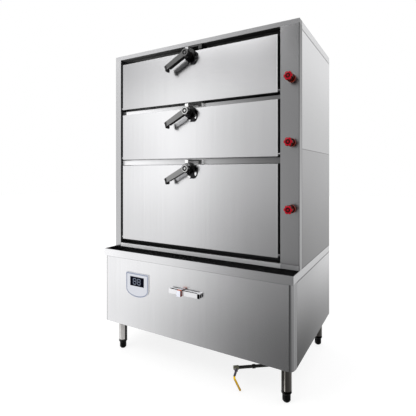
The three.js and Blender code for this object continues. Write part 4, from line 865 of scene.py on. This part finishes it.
# two generic digits that show every segment
def makeDigits():
    build = bmesh.new()
    halfWide = digits["width"] / 2
    halfTall = digits["height"] / 2
    for side in (-1, 1):
        x = display.middleX + digits["shift"] + side * digits["pitch"] / 2
        ends = {(i, j): (x + i * halfWide, display.middleZ + j * halfTall)
                for i in (-1, 1) for j in (-1, 0, 1)}
        for i in (-1, 1):
            for j in (-1, 0):
                addSegment(build, ends[i, j], ends[i, j + 1])
        for j in (-1, 0, 1):
            addSegment(build, ends[-1, j], ends[1, j])
    finishPiece("displayDigits", build, "digitGlass", "cabinet", 0.1)


makeDigits()
print("knobs and display made")

# distances from the rail's ends, front and top, and from the slider's
rail, slider = sides("switch_rail"), sides("switch_slider")
switch = {
    "slotStart": 14.5 * mm, "slotStop": 19 * mm,
    "slotY": (1.4 * mm, 10 * mm), "slotZ": (0.05 * mm, 0.25 * mm),
    "holeY": 8.7 * mm, "holeRadius": 9.5 * mm, "holeDepthShare": 0.6,
    "endX": (0.1 * mm, 0.4 * mm), "endFront": 3 * mm, "endBack": 2.7 * mm, "endFoot": 3.5 * mm,
    "endTop": 3.2 * mm, "capX": (14.5 * mm, 0.2 * mm), "capRise": 0.25 * mm,
    "lidInset": 0.5 * mm, "lidY": (18.3 * mm, 0.3 * mm), "lidZ": (0.05 * mm, 0.4 * mm),
}


# painted shade: black in the rail's top slot and round hole, on its open end, and on a strip at the front of
# that end
def makeSwitchSlotShade():
    build = bmesh.new()
    slotLeft = rail.left + switch["slotStart"]
    slotZ = [rail.top + rise for rise in switch["slotZ"]]
    addSlab(build, (slotLeft, rail.right - switch["slotStop"]),
            [rail.front + y for y in switch["slotY"]], slotZ)
    addSlab(build, [rail.right + x for x in switch["endX"]],
            (rail.front + switch["endFront"], rail.back - switch["endBack"]),
            (rail.bottom + switch["endFoot"], rail.top - switch["endTop"]))
    rise = switch["capRise"]
    addSlab(build, [rail.right - x for x in switch["capX"]], (rail.front - rise, rail.front - rise / 2),
            (rail.bottom + rise, rail.top - rise))
    hole = [(slotLeft + x, rail.front + switch["holeY"] + y * switch["holeDepthShare"])
            for x, y in circle(switch["holeRadius"])]
    addPrism(build, hole, *slotZ, lay=lying)
    finishPiece("switchSlotShade", build, "slotPaintedShade", "cabinet", 0.05)


def makeSlider():
    piece = cadNodes["switch_slider"]
    paintFaces(piece, "sliderWhite", lambda centre, normal: normal.y < -facing["mostly"])
    # painted shade on the slider's two sides
    paintFaces(piece, "copperShade", lambda centre, normal: abs(normal.x) > facing["mostly"])
    build = bmesh.new()
    addSlab(build, (slider.left + switch["lidInset"], slider.right - switch["lidInset"]),
            [slider.back - y for y in switch["lidY"]], [slider.top + z for z in switch["lidZ"]])
    finishPiece("sliderLid", build, "bezelPlastic", "power_slider", 0.05)


makeSwitchSlotShade()
makeSlider()

gripTurn = 0.05  # the drain grip gets painted shade below this height
paintFaces(cadNodes["drain_grip"], "gripPaintedShade", lambda centre, normal: centre.z < gripTurn)

# cover strips on the two crossbars, above the door under each, with room for that door's keeper; their tone
# is painted light, fading to shade towards the right
strip = {"depth": 31.5 * mm, "behind": 0.5 * mm, "foot": 3.2 * mm, "clear": 0.3 * mm,
         "crossbar_upper": {"tier": "middle", "height": 20.3 * mm},
         "crossbar_lower": {"tier": "bottom", "height": 30 * mm}}


def makeBarStrip(name):
    tier, clear = strip[name]["tier"], strip["clear"]
    stop = sides(f"keeper_{tier}")
    back = sides(name).front - strip["behind"]
    foot = doors[tier].top + strip["foot"]
    build = bmesh.new()
    for x in ((jambs[0] + clear, stop.left - clear), (stop.right + clear, jambs[1] - clear)):
        addSlab(build, x, (back - strip["depth"], back), (foot, foot + strip[name]["height"]))
    finishPiece(f"{name}Strip", build, "barStripSteel", "cabinet")


for bar in ("crossbar_upper", "crossbar_lower"):
    makeBarStrip(bar)

# thin covers on the face frame's front, whose tones are painted light and shade
railEdge = 0.5 * mm
railY = (faceFrame.front - 0.4 * mm, faceFrame.front - 0.1 * mm)
railFoot = (deck.top + sheetEdge, deck.top + 23.5 * mm)
rails = {
    "topRail": {"x": (faceFrame.left + railEdge, faceFrame.right - railEdge),
                "z": (faceFrame.top - 23.5 * mm, faceFrame.top - railEdge), "paint": "topRailSteel"},
    "bottomRail": {"x": (jambs[0] + railEdge, jambs[1]), "z": railFoot, "paint": "bottomRailSteel"},
    "stileFoot": {"x": (jambs[1] + railEdge, faceFrame.right - 3.5 * mm), "z": railFoot,
                  "paint": "stileFootSteel"},
}


def makeRail(name):
    build = bmesh.new()
    addSlab(build, rails[name]["x"], railY, rails[name]["z"])
    finishPiece(name, build, rails[name]["paint"], "cabinet", 0.1)


for name in rails:
    makeRail(name)
print("switch, bars and rails covered")

# a latch: its axis is a drop below the door's top, its arm tilts down to the left, and its depths
# are from the lever's front
latch = {
    "axisX": -26.5 * mm, "drop": 21 * mm, "tilt": 27.5, "depth": 15 * mm, "length": 136 * mm,
    "cup": 14.5 * mm, "frontEdge": 0.25 * mm, "backEdge": 1 * mm,
    "skirtStart": 12 * mm, "skirtEnd": 135.5 * mm, "armWide": 14.7 * mm, "armNarrow": 12.7 * mm,
    "skirtGap": 0.2 * mm, "skirtBack": 30 * mm,
    "skirtBackLight": {"top": "leverSatin_bottom", "middle": "paintedHighlightSteel", "bottom": "paintedHighlightSteel"},
    "lipRise": 1 * mm, "lip": ((-134.5, -56.5), (-126.5, -52), (-122.5, -74), (-123, -86), (-127, -92),
                               (-132, -88), (-136, -70)),
    "faceOuter": 22.2 * mm, "faceInner": 14.6 * mm, "faceRise": 0.3 * mm,
    "ringOuter": 20.3 * mm, "ringInner": 15.2 * mm, "ringRise": 1.2 * mm,
    "pin": 6.6 * mm, "pinBack": 5.7 * mm,
}
# two thin painted highlights beside the latch's plate, placed from the lever's axis
glint = {"rise": 0.1 * mm, "sink": 0.2 * mm,
         "arc": {"x": 8 * mm, "z": -12 * mm, "outer": 42 * mm, "inner": 33 * mm, "from": 205, "to": 262,
                 "steps": 12},
         "spot": {"x": 37.5 * mm, "z": -26 * mm, "wide": 6 * mm, "tall": 15 * mm}}
leverFront = sides("latch_lever_top").front
leverBack = leverFront + latch["depth"]
skirtBack = leverFront + latch["skirtBack"]
armTilt = math.radians(latch["tilt"])
armDown = Vector((-math.cos(armTilt), 0, -math.sin(armTilt)))
armUp = Vector((-math.sin(armTilt), 0, math.cos(armTilt)))


def latchPlace(tier):
    return latch["axisX"], 0, doors[tier].top - latch["drop"]


def dressLever(tier):
    hub = Vector(latchPlace(tier))

    # painted shade on the lever's back, underside and hub cup, and black on its tip
    def isBlackAndShade(centre, normal):
        flat = Vector((centre.x, 0, centre.z)) - hub
        back = centre.y > leverBack - latch["backEdge"]
        under = normal.dot(armUp) < -facing["roughly"]
        tip = flat.dot(armDown) > latch["length"]
        cup = flat.length < latch["cup"] and leverFront + latch["frontEdge"] < centre.y < leverBack
        return back or under or tip or cup

    paintFaces(cadNodes[f"latch_lever_{tier}"], "latchBlackAndPaintedShade", isBlackAndShade)


def leverPiece(kind, tier, build, paint, radius=0.3):
    return finishPiece(f"{kind}_{tier}", build, paint, f"latch_{tier}_lever", radius,
                       latchPlace(tier))


# a skirt of painted shade under the lever; its back, which the door reflects, is painted light
def makeSkirt(tier):
    def onArm(down, up):
        return (-down * math.cos(armTilt) - up * math.sin(armTilt),
                -down * math.sin(armTilt) + up * math.cos(armTilt))

    start, end = latch["skirtStart"], latch["skirtEnd"]
    wide, narrow = latch["armWide"], latch["armNarrow"]
    build = bmesh.new()
    addPrism(build, [onArm(start, wide), onArm(end, narrow), onArm(end, -narrow), onArm(start, -wide)],
             leverBack + latch["skirtGap"], skirtBack)
    skirt = leverPiece("leverShadeSkirt", tier, build, "latchBlackAndPaintedShade")
    paintFaces(skirt, latch["skirtBackLight"][tier], lambda centre, normal: normal.y > facing["roughly"])


# the lever's black end lip, with a painted highlight on its left face
def makeLip(tier):
    build = bmesh.new()
    outline = [(x * mm, z * mm) for x, z in latch["lip"]]
    addPrism(build, outline, leverFront - latch["lipRise"], skirtBack)
    lip = leverPiece("leverLip", tier, build, "latchBlackAndPaintedShade", 1.2)
    paintFaces(lip, "paintedHighlightEdge", lambda centre, normal: normal.x < -facing["squarely"])


def makeHubFace(tier):
    build = bmesh.new()
    addRing(build, circle(latch["faceOuter"]), circle(latch["faceInner"]),
            leverFront - latch["faceRise"], leverFront + latch["faceRise"])
    leverPiece("hubFace", tier, build, "latchBlackAndPaintedShade", 0.1)


# the hub's ring and pin take the tier's painted-light tone
def makeHubRing(tier):
    build = bmesh.new()
    addRing(build, circle(latch["ringOuter"]), circle(latch["ringInner"]),
            leverFront - latch["ringRise"], leverFront)
    addPrism(build, circle(latch["pin"]), leverFront, leverFront + latch["pinBack"])
    leverPiece("hubRing", tier, build, f"hubPaintedLight_{tier}", 0.4)


def makePlateGlint(tier):
    arc, spot = glint["arc"], glint["spot"]
    turns = [math.radians(arc["from"] + (arc["to"] - arc["from"]) * i / arc["steps"])
             for i in range(arc["steps"] + 1)]
    sweep = [(arc["x"] + radius * math.cos(turn), arc["z"] + radius * math.sin(turn))
             for radius, way in ((arc["outer"], turns), (arc["inner"], turns[::-1])) for turn in way]
    oval = [(spot["x"] + spot["wide"] * x, spot["z"] + spot["tall"] * z) for x, z in circle(1)]
    plateFront = sides(f"latch_base_{tier}").front
    build = bmesh.new()
    for outline in (sweep, oval):
        addPrism(build, outline, plateFront - glint["rise"], plateFront + glint["sink"])
    finishPiece(f"plateGlint_{tier}", build, "paintedHighlightEdge", f"door_{tier}_leaf", 0.05,
                latchPlace(tier))


for tier in tiers:
    dressLever(tier)
    makeSkirt(tier)
    makeLip(tier)
    makeHubFace(tier)
    makeHubRing(tier)
    makePlateGlint(tier)
print("latches trimmed")
